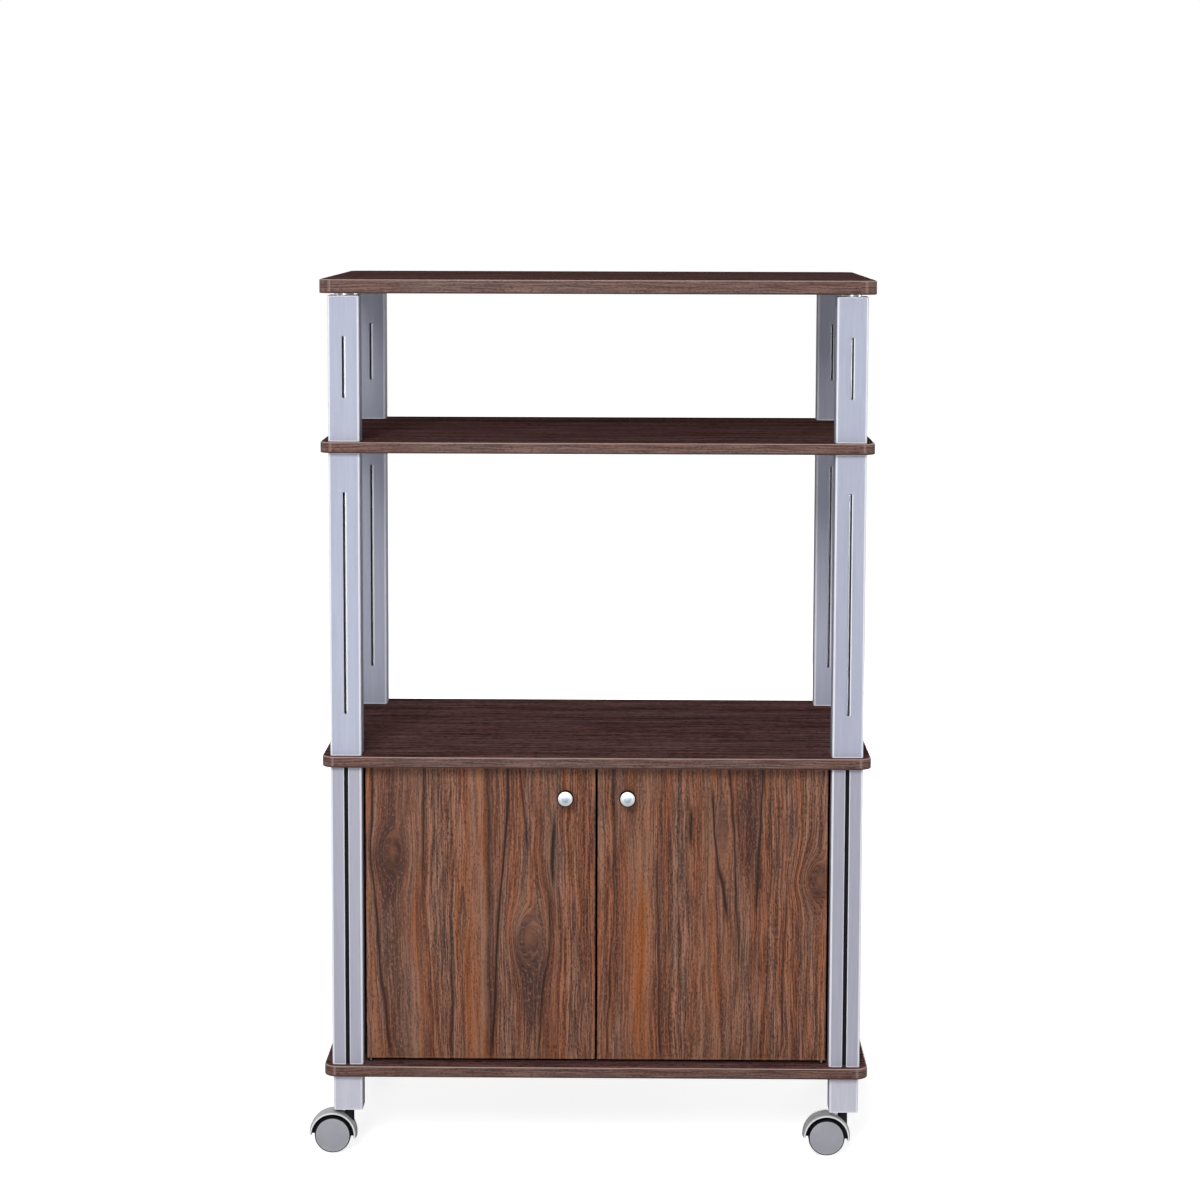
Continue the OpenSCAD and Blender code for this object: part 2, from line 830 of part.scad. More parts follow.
// The hood: a crowned half drum over both wheels, with a web between them, an eye round the axle and a
// boss for the journal
module caster_hood(c) {
    color(CASTER_GREY)
        at_caster(c)
            difference() {
                union() {
                    difference() {
                        union() {
                            on_axle()
                                rotate_extrude()
                                    intersection() {
                                        translate([hood_r - hood_crown_r, 0])
                                            circle(r = hood_crown_r);
                                        translate([0, -hood_depth / 2])
                                            square([hood_r + cut, hood_depth]);
                                    }
                            translate([0, 0, wheel_r])
                                cylinder(d = boss_d, h = boss_top_z - wheel_r);
                        }
                        on_axle()
                            for (side = [-1, 1])
                                translate([0, 0, side > 0 ? web_t / 2 : -web_t / 2 - hood_depth])
                                    cylinder(r = well_r, h = hood_depth);
                        translate([caster_trail, 0, wheel_r - hood_dip / 2])
                            rotate([0, -hood_tilt, 0])
                                translate([0, 0, -2 * hood_r])
                                    cube(4 * hood_r, center = true);
                    }
                    on_axle()
                        translate([0, 0, -web_t / 2])
                            cylinder(d = hub_d, h = web_t);
                }
                on_axle()
                    translate([0, 0, -web_t / 2])
                        bore(axle_d + 2 * fit_gap, web_t);
                translate([0, 0, journal_z - end_gap])
                    cylinder(d = journal_d + 2 * fit_gap, h = boss_top_z - journal_z + end_gap + cut);
            }
}

module caster_axle(c) {
    color(BRIGHT_STEEL)
        at_caster(c)
            on_axle()
                translate([0, 0, -axle_end_y])
                    cylinder(d = axle_d, h = 2 * axle_end_y);
}

// A wheel: a tread ring with a closed face on its outer side and a hub that turns on the axle
module wheel(c, side) {
    color(CASTER_GREY)
        at_caster(c)
            on_axle()
                mirror([0, 0, side < 0 ? 1 : 0])
                    rotate_extrude()
                        polygon([
                            [0, wheel_outer_y], [0, wheel_outer_y - face_t],
                            [axle_d / 2 + fit_gap, wheel_outer_y - face_t],
                            [axle_d / 2 + fit_gap, wheel_inner_y], [hub_d / 2, wheel_inner_y],
                            [hub_d / 2, wheel_outer_y - face_t], [wheel_r - tread_t, wheel_outer_y - face_t],
                            [wheel_r - tread_t, wheel_inner_y], [wheel_r - wheel_round, wheel_inner_y],
                            [wheel_r, wheel_inner_y + wheel_round], [wheel_r, wheel_outer_y - wheel_round],
                            [wheel_r - wheel_round, wheel_outer_y]
                        ]);
}

// ---- The nodes ----

top_board();
upper_shelf();
cabinet_top();
base_board();
back_panel();
tie_rods();
flange_nuts();
top_inserts();
post_plugs();
cabinet_post_plugs();
pivot_bushes();
catch_housing();
catch_magnets();
catch_screws();
foot_sockets();
caster_stems();
for (s = SIDES) {
    side_panel(s[1]);
    door(s[1]);
    hinge_plates(s[1]);
    knob(s[1]);
    strike_plate(s[1]);
    door_screws(s[1]);
}
for (c = CORNERS) {
    short_post(c);
    middle_post(c);
    cabinet_post(c);
    foot(c);
    caster_hood(c);
    caster_axle(c);
    for (w = WHEELS)
        wheel(c, w[1]);
}
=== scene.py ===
"""The finished look of a rolling kitchen cart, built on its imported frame: walnut boards and doors, coated
steel posts, satin knobs and grey twin-wheel casters."""

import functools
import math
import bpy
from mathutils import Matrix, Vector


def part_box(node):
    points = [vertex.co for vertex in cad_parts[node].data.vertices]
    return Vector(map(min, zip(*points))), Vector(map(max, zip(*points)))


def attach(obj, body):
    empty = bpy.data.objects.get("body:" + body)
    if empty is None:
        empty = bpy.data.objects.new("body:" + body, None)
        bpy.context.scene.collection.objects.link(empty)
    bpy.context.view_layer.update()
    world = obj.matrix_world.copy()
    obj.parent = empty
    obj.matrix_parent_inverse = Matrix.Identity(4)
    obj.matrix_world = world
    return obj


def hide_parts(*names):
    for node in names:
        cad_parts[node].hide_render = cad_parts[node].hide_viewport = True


bl_info = {
    "name": "Rolling Kitchen Cart",
    "version": (1, 0, 0),
    "blender": (4, 5, 0),
    "location": "3D View > Sidebar > Cart",
    "description": "Builds the visible surfaces, finishes and stage of a rolling kitchen cart",
    "category": "Object",
}

import bmesh
import bpy
import numpy as np
from mathutils import Matrix, Vector

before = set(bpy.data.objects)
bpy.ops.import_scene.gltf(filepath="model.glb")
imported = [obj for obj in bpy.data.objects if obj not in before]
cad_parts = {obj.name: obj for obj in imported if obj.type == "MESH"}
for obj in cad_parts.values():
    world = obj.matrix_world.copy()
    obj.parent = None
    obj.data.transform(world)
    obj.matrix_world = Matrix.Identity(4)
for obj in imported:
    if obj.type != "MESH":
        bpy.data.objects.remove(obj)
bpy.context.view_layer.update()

CORNERS = ("front_left", "front_right", "rear_left", "rear_right")
SIDES = ("left", "right")
BOARDS = ("top_board", "upper_shelf", "cabinet_top", "base_board")


# ---- Settings ----


def length(name, description, default):
    """A length setting, in metres."""
    return bpy.props.FloatProperty(
        name=name, description=description, default=default, min=0.0, precision=5, subtype="DISTANCE",
        unit="LENGTH")


def rotation(name, description, degrees):
    """An angle setting, given in degrees."""
    return bpy.props.FloatProperty(
        name=name, description=description, default=math.radians(degrees), subtype="ANGLE",
        unit="ROTATION")


def tint(name, description, default):
    """A colour setting, as a linear red, green and blue."""
    return bpy.props.FloatVectorProperty(
        name=name, description=description, default=default, size=3, min=0.0, max=1.0, subtype="COLOR")


class CartShapes(bpy.types.PropertyGroup):
    """Sizes of the small forms that finish the cart's parts."""

    board_corner: length("Board corner", "Radius of the boards' corners", 0.016)
    board_arris: length("Board arris", "Rounding of the boards' edges", 0.0011)
    door_arris: length("Door arris", "Rounding of the doors' edges", 0.0007)
    door_banding: length("Door banding", "Thickness of a door's edge banding", 0.0014)
    post_corner: length("Post corner", "Outside radius of a post's corners", 0.0025)
    post_wall: length("Post wall", "Sheet thickness of the posts", 0.0012)
    post_burr: length("Post end", "Rounding of a post's cut ends", 0.0003)
    slot_width: length("Slot width", "Width of an upper post's slot", 0.003)
    short_slot: length("Short slot", "Length of the slot in a top storey post", 0.067)
    middle_slot: length("Middle slot", "Length of the slot in a middle storey post", 0.243)
    slot_rise: length("Slot rise", "Height of a slot's middle above its post's", 0.0018)
    groove_width: length("Groove width", "Width of a cabinet post's folded groove", 0.0044)
    groove_depth: length("Groove depth", "Depth of that groove", 0.008)
    groove_lip: length("Groove lip", "Radius of the lips at the groove's mouth", 0.001)
    groove_bend: length("Groove bend", "Radius of the bends at the groove's floor", 0.0004)
    foot_wall: length("Foot wall", "Wall thickness of a foot", 0.0015)
    wheel_dome: length("Wheel dome", "Rise of a wheel's face in the middle", 0.0006)
    # The dark tread is painted shade: a black outline round each wheel
    wheel_lip: length("Wheel tread", "Reach of the dark tread over a wheel's edge", 0.0013)
    hood_crown: length("Hood crown", "Rise of a caster hood's crown in the middle", 0.00148)
    hood_round: length("Hood rim", "Rounding of a caster hood's rims", 0.0006)


class CartColours(bpy.types.PropertyGroup):
    """Colours of the finishes."""

    board_dark: tint("Board, dark grain", "Darkest walnut of the boards", (0.055, 0.028, 0.026))
    board_light: tint("Board, light grain", "Lightest walnut of the boards", (0.255, 0.130, 0.120))
    band_dark: tint("Edge band, dark grain", "Darkest grain of the boards' edge band", (0.062, 0.030, 0.025))
    band_light: tint("Edge band, light grain", "Lightest grain of the edge band", (0.225, 0.130, 0.108))
    # Painted highlight: the pale line drawn along the boards' upper arris
    band_highlight: tint("Edge band, arris", "Pale line along the boards' upper arris", (0.46, 0.34, 0.30))
    door_vein: tint("Door, veins", "Darkest lines and pores of the doors", (0.026, 0.012, 0.010))
    door_dark: tint("Door, dark grain", "Dark purplish zones of the doors", (0.070, 0.033, 0.026))
    door_mid: tint("Door, main grain", "Main walnut brown of the doors", (0.190, 0.083, 0.051))
    door_light: tint("Door, light grain", "Salmon stripes of the doors", (0.36, 0.165, 0.102))
    door_orange: tint("Door, orange grain", "Broad orange-brown zones of the doors", (0.33, 0.128, 0.060))
    steel: tint("Post coat", "Silver coat of the upper posts", (0.455, 0.475, 0.585))
    # Painted shade: the same silver coat, darker on the cabinet posts where less light falls
    steel_cabinet_shaded: tint("Cabinet post coat", "Silver coat of the cabinet posts", (0.41, 0.41, 0.49))
    # Painted light: the same silver coat, lighter on the feet where more light falls
    steel_foot_lit: tint("Foot coat", "Silver coat of the feet", (0.57, 0.57, 0.65))
    # Painted highlight: the thin bright line along the edges of posts and feet
    steel_highlight: tint("Post edge", "Thin bright coat along the edges of posts and feet", (0.92, 0.93, 1.0))
    # The knobs' middle and bright ring together paint their reflection: the ring is a painted highlight
    knob: tint("Knob", "Satin metal in the middle of the knobs", (0.35, 0.41, 0.49))
    knob_highlight: tint("Knob ring", "Bright metal round the knobs' middle", (0.96, 0.96, 0.98))
    zinc: tint("Zinc", "Bright zinc of the small metal parts", (0.62, 0.63, 0.66))
    caster: tint("Caster", "Grey plastic of the casters", (0.36, 0.36, 0.40))
    hood: tint("Caster hood", "Lighter grey plastic of the caster hoods", (0.52, 0.52, 0.53))
    # Painted highlight along the casters' rims
    caster_highlight: tint("Caster edge", "Polished rims of the casters", (0.95, 0.95, 0.97))
    shadow: tint("Line", "Dark lines under edges, in gaps and round rims", (0.012, 0.010, 0.012))


class CartStage(bpy.types.PropertyGroup):
    """The camera and the backdrop."""

    camera_place: bpy.props.FloatVectorProperty(
        name="Camera place", description="Where the camera stands", default=(0.0392, -3.529, 1.0546), size=3,
        subtype="TRANSLATION", unit="LENGTH")
    yaw: rotation("Yaw", "Turn of the camera to the left", 0.62)
    pitch: rotation("Pitch", "Tilt of the camera down", 6.52)
    roll: rotation("Roll", "Turn of the camera about its line of sight", 0.16)
    lens: bpy.props.FloatProperty(
        name="Lens", description="Focal length", default=93.0, min=1.0, subtype="DISTANCE_CAMERA",
        unit="CAMERA")
    shift: bpy.props.FloatProperty(name="Shift", description="Vertical shift of the frame", default=-0.04)
    backdrop: tint("Backdrop", "Colour of the floor and the background", (1.0, 1.0, 1.0))


# ---- Surfaces ----


def put(name, data):
    """A new object in the scene with that data."""
    made = bpy.data.objects.new(name, data)
    bpy.context.scene.collection.objects.link(made)
    return made


class Shell:
    """A closed surface in the making: grids of points and flat caps, with material numbers, a UV map in
    metres, and an edge mark that the finishes read."""

    def __init__(self):
        self.points, self.faces, self.numbers, self.uvs, self.marks = [], [], [], [], []
        self.total = 0

    def keep(self, surface, faces, numbers, uv, mark):
        """Adds points with a UV and a mark each, and faces, which count from the shell's first point."""
        self.points.append(surface)
        self.faces += faces
        self.numbers.append(numbers)
        self.uvs.append(uv)
        self.marks.append(mark)
        self.total += len(surface)

    def grid(self, surface, number=0, uv=(0.0, 0.0), mark=0.0):
        """A surface of two parameters: the point of each row and column joins the next in its row and the
        two beside them in the next row."""
        rows, columns = surface.shape[:2]
        first = self.total + np.arange(rows - 1)[:, None] * columns + np.arange(columns - 1)
        faces = points(first, first + 1, first + columns + 1, first + columns).reshape(-1, 4)
        self.keep(surface.reshape(-1, 3), faces.tolist(), np.broadcast_to(number, first.shape).ravel(),
                  np.broadcast_to(uv, (rows, columns, 2)).reshape(-1, 2),
                  np.broadcast_to(mark, (rows, columns)).ravel())

    def caps(self, surface):
        """A flat face over the first and the last column of a surface whose last row repeats its first."""
        for column in (0, -1):
            ring = surface[:-1, column]
            face = list(range(self.total, self.total + len(ring)))
            self.keep(ring, [face], np.zeros(1), np.zeros((len(ring), 2)), np.zeros(len(ring)))

    def build(self, node, ending, finishes, slot, body="root"):
        """Puts the shell into a mesh, joins the points that coincide, turns its faces outwards, and lets the
        new piece stand for a CAD node on its body."""
        mesh = bpy.data.meshes.new(node + ending)
        mesh.from_pydata(np.concatenate(self.points).tolist(), [], self.faces)
        corners = np.empty(len(mesh.loops), np.int32)
        mesh.loops.foreach_get("vertex_index", corners)
        mesh.uv_layers.new(name="UVMap").uv.foreach_set("vector", np.concatenate(self.uvs)[corners].ravel())
        mesh.attributes.new("edge", "FLOAT", "POINT").data.foreach_set("value", np.concatenate(self.marks))
        mesh.polygons.foreach_set("material_index", np.concatenate(self.numbers).astype(np.int32))
        mesh.polygons.foreach_set("use_smooth", np.ones(len(mesh.polygons), bool))
        work = bmesh.new()
        work.from_mesh(mesh)
        bmesh.ops.remove_doubles(work, verts=work.verts, dist=1e-6)
        bmesh.ops.recalc_face_normals(work, faces=work.faces)
        work.to_mesh(mesh)
        work.free()
        mesh.set_sharp_from_angle(angle=math.radians(40.0))
        for finish in finishes:
            mesh.materials.append(material(finish))
        piece = put(mesh.name, mesh)
        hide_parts(node)
        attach(piece, body)


def points(*coordinates):
    """Points with these coordinates, each an array or one number for all."""
    return np.stack(np.broadcast_arrays(*coordinates), -1)


def outline(bends, steps, shoulder):
    """A closed outline of straight runs and bends, as points and outward normals. A bend is (x, y, radius,
    start, end): its points are centre + radius * normal while the normal turns from start to end, in degrees,
    and the radius of an inward bend is negative. A shoulder point on each side keeps straight runs flat."""
    bends = np.asarray(bends, float)
    share = np.linspace(0.0, 1.0, steps + 1)
    angle = np.radians(bends[:, 3:4] + (bends[:, 4:5] - bends[:, 3:4]) * share)
    normal, tangent = points(np.cos(angle), np.sin(angle)), points(-np.sin(angle), np.cos(angle))
    point = bends[:, None, :2] + bends[:, 2, None, None] * normal
    before = point[:, :1] - shoulder * tangent[:, :1]
    after = point[:, -1:] + shoulder * tangent[:, -1:]
    point = np.concatenate([before, point, after], 1).reshape(-1, 2)
    normal = np.concatenate([normal[:, :1], normal, normal[:, -1:]], 1).reshape(-1, 2)
    return np.concatenate([point, point[:1]]), np.concatenate([normal, normal[:1]])


def round_rectangle(half_x, half_y, radius, steps, shoulder):
    """A rectangle with round corners about the origin, from its front right corner anticlockwise."""
    x, y = half_x - radius, half_y - radius
    rows = [(x, -y, -90, 0), (x, y, 0, 90), (-x, y, 90, 180), (-x, -y, 180, 270)]
    return outline([(a, b, radius, c, d) for a, b, c, d in rows], steps, shoulder)


def corner_highlight(normal):
    """A painted highlight mark that is one on a rounded corner and zero on the flat faces beside it: four
    times the product of the normal's two parts, and no more than one."""
    return np.clip(np.abs(4 * normal[:, 0] * normal[:, 1]), 0.0, 1.0)[:, None]


def run_along(point):
    """The distance covered along an outline at each of its points."""
    step = np.linalg.norm(np.diff(point, axis=0), axis=1)
    return np.concatenate([[0.0], np.cumsum(step)])


def carried(point, normal, profile, centre=(0.0, 0.0)):
    """A profile of (inset, height) carried along an outline about a centre: point - inset * normal, at that
    height."""
    inset, height = np.asarray(profile, float).T
    flat = point[:, None, :] - inset[None, :, None] * normal[:, None, :] + np.asarray(centre)[:2]
    return np.concatenate([flat, np.broadcast_to(height[None, :, None], flat.shape[:2] + (1,))], -1)


def quarter_rounds(low, high, radius, count):
    """A quarter circle at each end of an edge, as (inset, height): radius * (1 - sine), radius * (1 - cosine)
    up from the low end, and the same backwards below the high end."""
    turn = np.radians(np.linspace(0.0, 90.0, count))
    inset, rise = radius * (1 - np.sin(turn)), radius * (1 - np.cos(turn))
    return points(inset, low + rise), points(rise, high - inset)


def softened(profile, reach, steps=4):
    """A line of points with its inner corners rounded: at each, a parabola leads from reach before the
    corner to reach after it, with one more point just outside at both ends."""
    profile = np.asarray(profile, float)
    before, corner, after = profile[:-2], profile[1:-1], profile[2:]
    reach = np.broadcast_to(np.asarray(reach, float), len(corner))[:, None]
    back = (before - corner) / np.linalg.norm(before - corner, axis=1, keepdims=True) * reach
    ahead = (after - corner) / np.linalg.norm(after - corner, axis=1, keepdims=True) * reach
    s = np.linspace(0.0, 1.0, steps + 1)[None, :, None]
    start, end = (corner + back)[:, None], (corner + ahead)[:, None]
    curve = (1 - s) ** 2 * start + 2 * s * (1 - s) * corner[:, None] + s**2 * end
    curve = np.concatenate([start + 0.3 * back[:, None], curve, end + 0.3 * ahead[:, None]], 1)
    return np.concatenate([profile[:1], curve.reshape(-1, 2), profile[-1:]])


def turned(profile, steps, centre):
    """A profile of (radius, depth) turned about the line along Y through centre: radius * cosine across,
    radius * sine up, and the depth along the line."""
    radius, depth = np.asarray(profile, float).T
    angle = np.linspace(0.0, 2 * np.pi, steps + 1)[:, None]
    return points(radius * np.cos(angle), depth, radius * np.sin(angle)) + centre


def extents(node):
    """The lowest and the highest level of a CAD node's box, its middle and its half sizes."""
    low, high = (np.array(corner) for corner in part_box(node))
    return low[2], high[2], (low + high) / 2, (high - low) / 2


# ---- Shader nodes ----


class Node:
    """A shader node in its tree. Its outputs are read as values, by name or number."""

    def __init__(self, tree, made):
        self.tree, self.made = tree, made

    def __getitem__(self, key):
        return Value(self.tree, self.made.outputs[key])

    def feed(self, inputs):
        """Sets each named input, or links it where it is given as another node's value."""
        for key, value in inputs.items():
            if isinstance(value, Value):
                self.tree.links.new(value.socket, self.made.inputs[key])
            else:
                self.made.inputs[key].default_value = value
        return self


def add(tree, kind, inputs=None, **settings):
    """A new shader node of a kind, with its settings and its inputs."""
    made = tree.nodes.new("ShaderNode" + kind)
    for key, value in settings.items():
        setattr(made, key, value)
    return Node(tree, made).feed(inputs or {})


class Value:
    """A number, vector or colour that a shader node puts out. Each method adds a node that works on it."""

    def __init__(self, tree, socket):
        self.tree, self.socket = tree, socket

    def maths(self, operation, *others, clamp=False):
        """This number and others through a Math node."""
        inputs = dict(enumerate((self, *others)))
        return add(self.tree, "Math", inputs, operation=operation, use_clamp=clamp)[0]

    def __add__(self, other):
        return self.maths("ADD", other)

    def __sub__(self, other):
        return self.maths("SUBTRACT", other)

    def __mul__(self, other):
        return self.maths("MULTIPLY", other)

    def __truediv__(self, other):
        return self.maths("DIVIDE", other)

    def scaled(self, gain, base):
        """This number times a gain, plus a base."""
        return self.maths("MULTIPLY_ADD", gain, base)

    def about(self, gain, base):
        """This number's departure from 0.5 times a gain, plus a base."""
        return (self - 0.5).scaled(gain, base)

    def bell(self, rate=1.0):
        """A bell curve of a square: the exponential of minus the rate times it."""
        return (self * -rate).maths("EXPONENT")

    def vector(self, operation, other, key=1):
        """This vector and another input through a Vector Math node."""
        return add(self.tree, "VectorMath", {0: self, key: other}, operation=operation)[0]

    def parts(self):
        """This vector's X and Y."""
        split = add(self.tree, "SeparateXYZ", {0: self})
        return split[0], split[1]

    def moved_across(self, amount):
        """This vector with its Y moved by an amount."""
        return self.vector("ADD", add(self.tree, "CombineXYZ", {1: amount})[0])

    def stretched(self, scale, seed=0.0):
        """This vector stretched by a scale for each axis and moved along by a seed."""
        inputs = {"Vector": self, "Scale": scale, "Location": (seed, seed, seed)}
        return add(self.tree, "Mapping", inputs)[0]

    def noise(self, scale=1.0, detail=2.0, rough=0.5, dimensions="3D"):
        """A noise value about 0.5 at this vector, or with 1D along this number."""
        inputs = {"W" if dimensions == "1D" else "Vector": self, "Scale": scale, "Detail": detail}
        return add(self.tree, "TexNoise", inputs | {"Roughness": rough}, noise_dimensions=dimensions)["Fac"]

    def ranged(self, low, high, to_low=0.0, to_high=1.0, kind="SMOOTHSTEP"):
        """This number taken from one range to another and held at its ends."""
        inputs = {"Value": self, "From Min": low, "From Max": high, "To Min": to_low, "To Max": to_high}
        return add(self.tree, "MapRange", inputs, interpolation_type=kind)["Result"]

    def mixed(self, first, second):
        """The colour this share of the way from a first to a second."""
        return add(self.tree, "Mix", {0: self, 6: first, 7: second}, data_type="RGBA")[2]


ZERO = (0.0, 0.0, 0.0)
BLACK = (0.0, 0.0, 0.0, 1.0)


def shader_group(*outputs, **inputs):
    """Makes a group of shader nodes out of a function from its input node to its named results. The new
    function places the group in a tree, with values for its inputs, and builds it when it is first called.
    An input's kind follows from its default, an output's from its name."""

    def decorate(maker):
        @functools.cache
        def built():
            tree = bpy.data.node_groups.new(maker.__name__, "ShaderNodeTree")
            for label, default in inputs.items():
                kind = "NodeSocket" + {1: "Float", 3: "Vector", 4: "Color"}[np.size(default)]
                socket = tree.interface.new_socket(label, in_out="INPUT", socket_type=kind)
                socket.default_value = default
            for label in outputs:
                kind = "NodeSocket" + {"Vector": "Vector", "Colour": "Color"}.get(label, "Float")
                tree.interface.new_socket(label, in_out="OUTPUT", socket_type=kind)
            results = maker(Node(tree, tree.nodes.new("NodeGroupInput")))
            Node(tree, tree.nodes.new("NodeGroupOutput")).feed(results)
            return tree

        def place(tree, **values):
            return add(tree, "Group", node_tree=built()).feed(values)

        return place

    return decorate


@shader_group("Vector", Vector=ZERO, Sway=0.02, Seed=0.0)
def grain_wander(given):
    """Grain that wanders: the coordinate across it moves by a wide, a close and a fine noise drawn out along
    it."""
    seed = add(given.tree, "CombineXYZ", {axis: given["Seed"] for axis in range(3)})[0]
    seeded = given["Vector"].vector("ADD", seed)
    sway = 0.0
    for along, across, share in ((2.6, 7.0, 1.0), (9.0, 30.0, 0.28), (34.0, 60.0, 0.13)):
        sway = seeded.stretched((along, across, across), along).noise(detail=1.0).about(share, sway)
    return {"Vector": given["Vector"].moved_across(sway * given["Sway"])}


@shader_group("Colour", "Pores", "Height", Vector=ZERO, Heart=0.0, Depth=0.05, Slope=0.2, Ring=0.006,
              Zone=0.5, Contrast=1.0, Tick=1.0, Vein=BLACK, Dark=BLACK, Mid=BLACK, Light=BLACK, Warm=BLACK)
def walnut_figure(given):
    """Walnut figure. The grain runs along X and the coordinate across it is Y. The growth rings are a
    distance from the heart line: the square root of the distance across squared plus the depth squared,
    where the depth grows along the grain, so that the rings close into arches."""
    contrast, vein, dark, light, warm = (
        given[name] for name in ("Contrast", "Vein", "Dark", "Light", "Warm"))
    along, across = given["Vector"].parts()
    across = across - given["Heart"]
    depth = along.scaled(given["Slope"], given["Depth"])
    ring = across.scaled(across, depth * depth).maths("SQRT") / given["Ring"]
    # Late wood: a dark line that builds up through each ring and stops sharply; only some rings show it well
    within = ring.maths("FRACT")
    strength = add(given.tree, "TexWhiteNoise", {"W": ring.maths("FLOOR")}, noise_dimensions="1D")["Value"]
    late = within.maths("POWER", 5.0) * strength.ranged(0.25, 1.0) * within.ranged(1.0, 0.95)
    # Bands and stripes follow the rings; streaks, fibres and ticks are drawn out along the grain
    bands = ring.noise(0.42, 1.0, dimensions="1D")
    stripes = ring.noise(1.9, 2.0, 0.6, "1D")
    fine = given["Vector"].vector("SCALE", given["Tick"], "Scale")
    streaks = fine.stretched((9.0, 190.0, 190.0), 3.0).noise(rough=0.6)
    fibres = fine.stretched((22.0, 660.0, 660.0)).noise(rough=0.6)
    ticks = fine.stretched((230.0, 640.0, 640.0), 7.0).noise(rough=0.7)
    zone = bands.about(0.8, given["Zone"])
    base = zone.ranged(0.10, 0.48).mixed(dark, given["Mid"])
    base = zone.ranged(0.56, 0.98).mixed(base, warm)
    tone = fibres.about(1.9, streaks.about(0.35, stripes.about(0.42, 0.5)))
    pale = tone.ranged(0.50, 0.76).maths("MULTIPLY", contrast, clamp=True)
    deep = tone.ranged(0.50, 0.26).maths("MULTIPLY", contrast, clamp=True)
    pores = ticks.ranged(0.53, 0.68).maths("MULTIPLY", contrast, clamp=True)
    bright = zone.ranged(0.56, 1.0, 0.0, 0.7).mixed(light, warm)
    base = (pale * zone.ranged(0.10, 0.55, 0.35, 0.9)).mixed(base, bright)
    base = (deep * zone.ranged(0.45, 0.95, 0.88, 0.5)).mixed(base, dark)
    base = (late * 0.75).mixed(base, vein)
    base = (ticks.ranged(0.46, 0.30) * 0.60).mixed(base, light)
    base = (pores * 0.75).mixed(base, vein)
    # The print's colour shifts between greyer and redder streaks
    tinge = fine.stretched((5.0, 75.0, 75.0), 21.0).noise(detail=3.0, rough=0.7)
    saturation, hue = (tinge.ranged(0.32, 0.66, *ends) for ends in ((0.88, 1.12), (0.502, 0.4975)))
    colour = add(given.tree, "HueSaturation", {"Color": base, "Saturation": saturation, "Hue": hue})[0]
    return {"Colour": colour, "Pores": pores, "Height": fibres.scaled(0.4, (pores + late) * -0.5)}


@shader_group("Mask", "Square", "Offset", Vector=ZERO, Centre=ZERO, Along=0.03, Across=0.012)
def soft_patch(given):
    """A soft oval patch: a bell curve of the distance from its middle, in its own lengths and widths."""
    along, offset = given["Vector"].vector("SUBTRACT", given["Centre"]).parts()
    a, b = along / given["Along"], offset / given["Across"]
    square = a.scaled(a, b * b)
    return {"Mask": square.bell(), "Square": square, "Offset": offset}


@shader_group("Vector", "Core", "Eye", Vector=ZERO, Centre=ZERO, Along=0.03, Across=0.012, Pull=0.6)
def grain_knot(given):
    """Grain that parts round a knot. The coordinate across the grain moves back by the offset from the knot
    times a bell curve, so that lines swing out round it, and near the middle it turns into the distance from
    the middle, so that they close into rings."""
    patch = soft_patch(given.tree, **{name: given[name] for name in ("Vector", "Centre", "Along", "Across")})
    offset, square = patch["Offset"], patch["Square"]
    core = square.bell(3.0)
    swing = offset * patch["Mask"] * (given["Pull"] * -1.0)
    ring = (square.maths("SQRT") * given["Across"] - offset) * core
    return {"Vector": given["Vector"].moved_across(swing + ring), "Core": core, "Eye": square.bell(22.0)}


@shader_group("Mask", Vector=ZERO, Place=0.0, Lean=0.0, Low=0.0, High=1.0, Width=0.001, Fade=0.025)
def grain_vein(given):
    """A dark vein along the grain: a bell curve of the distance across from a line that leans, faded out past
    a low and a high end."""
    along, across = given["Vector"].parts()
    low, high, fade = given["Low"], given["High"], given["Fade"]
    line = (along - (low + high) * 0.5).scaled(given["Lean"], given["Place"])
    off = (across - line) / given["Width"]
    return {"Mask": (off * off).bell() * (along.ranged(low, low + fade) * along.ranged(high, high - fade))}


@shader_group("Colour", Colour=BLACK, Share=0.8, Edge=BLACK, Line=BLACK)
def marked_edges(given):
    """Edges and lines marked on the mesh, most of them painted highlights and painted shade: a colour goes
    over to the edge's colour where the mark is above zero, and to the line's colour where it is below."""
    mark = add(given.tree, "Attribute", attribute_name="edge")["Fac"]
    edge, line = (mark.ranged(0.0, end) * given["Share"] for end in (1.0, -1.0))
    return {"Colour": line.mixed(edge.mixed(given["Colour"], given["Edge"]), given["Line"])}


def shaded(given, shade, depth, spread, height):
    """A coat's results: its colour and its roughness varied by a shade about zero, and its height."""
    colour = given["Colour"].vector("SCALE", shade.scaled(depth, 1.0), "Scale")
    return {"Colour": colour, "Roughness": shade.scaled(spread, given["Roughness"]), "Height": height}


@shader_group("Colour", "Roughness", "Height", Vector=ZERO, Colour=BLACK, Grain=1500.0, Depth=0.06,
              Roughness=0.4, Cloud=14.0)
def coat_speckle(given):
    """Fine uneven coat: a slow cloud and a fine grain, which shade a colour and give a height."""
    cloud = given["Vector"].noise(given["Cloud"], 3.0)
    grain = given["Vector"].noise(given["Grain"], 2.0, 0.6)
    return shaded(given, grain.about(0.7, cloud - 0.5), given["Depth"], 0.18, grain)


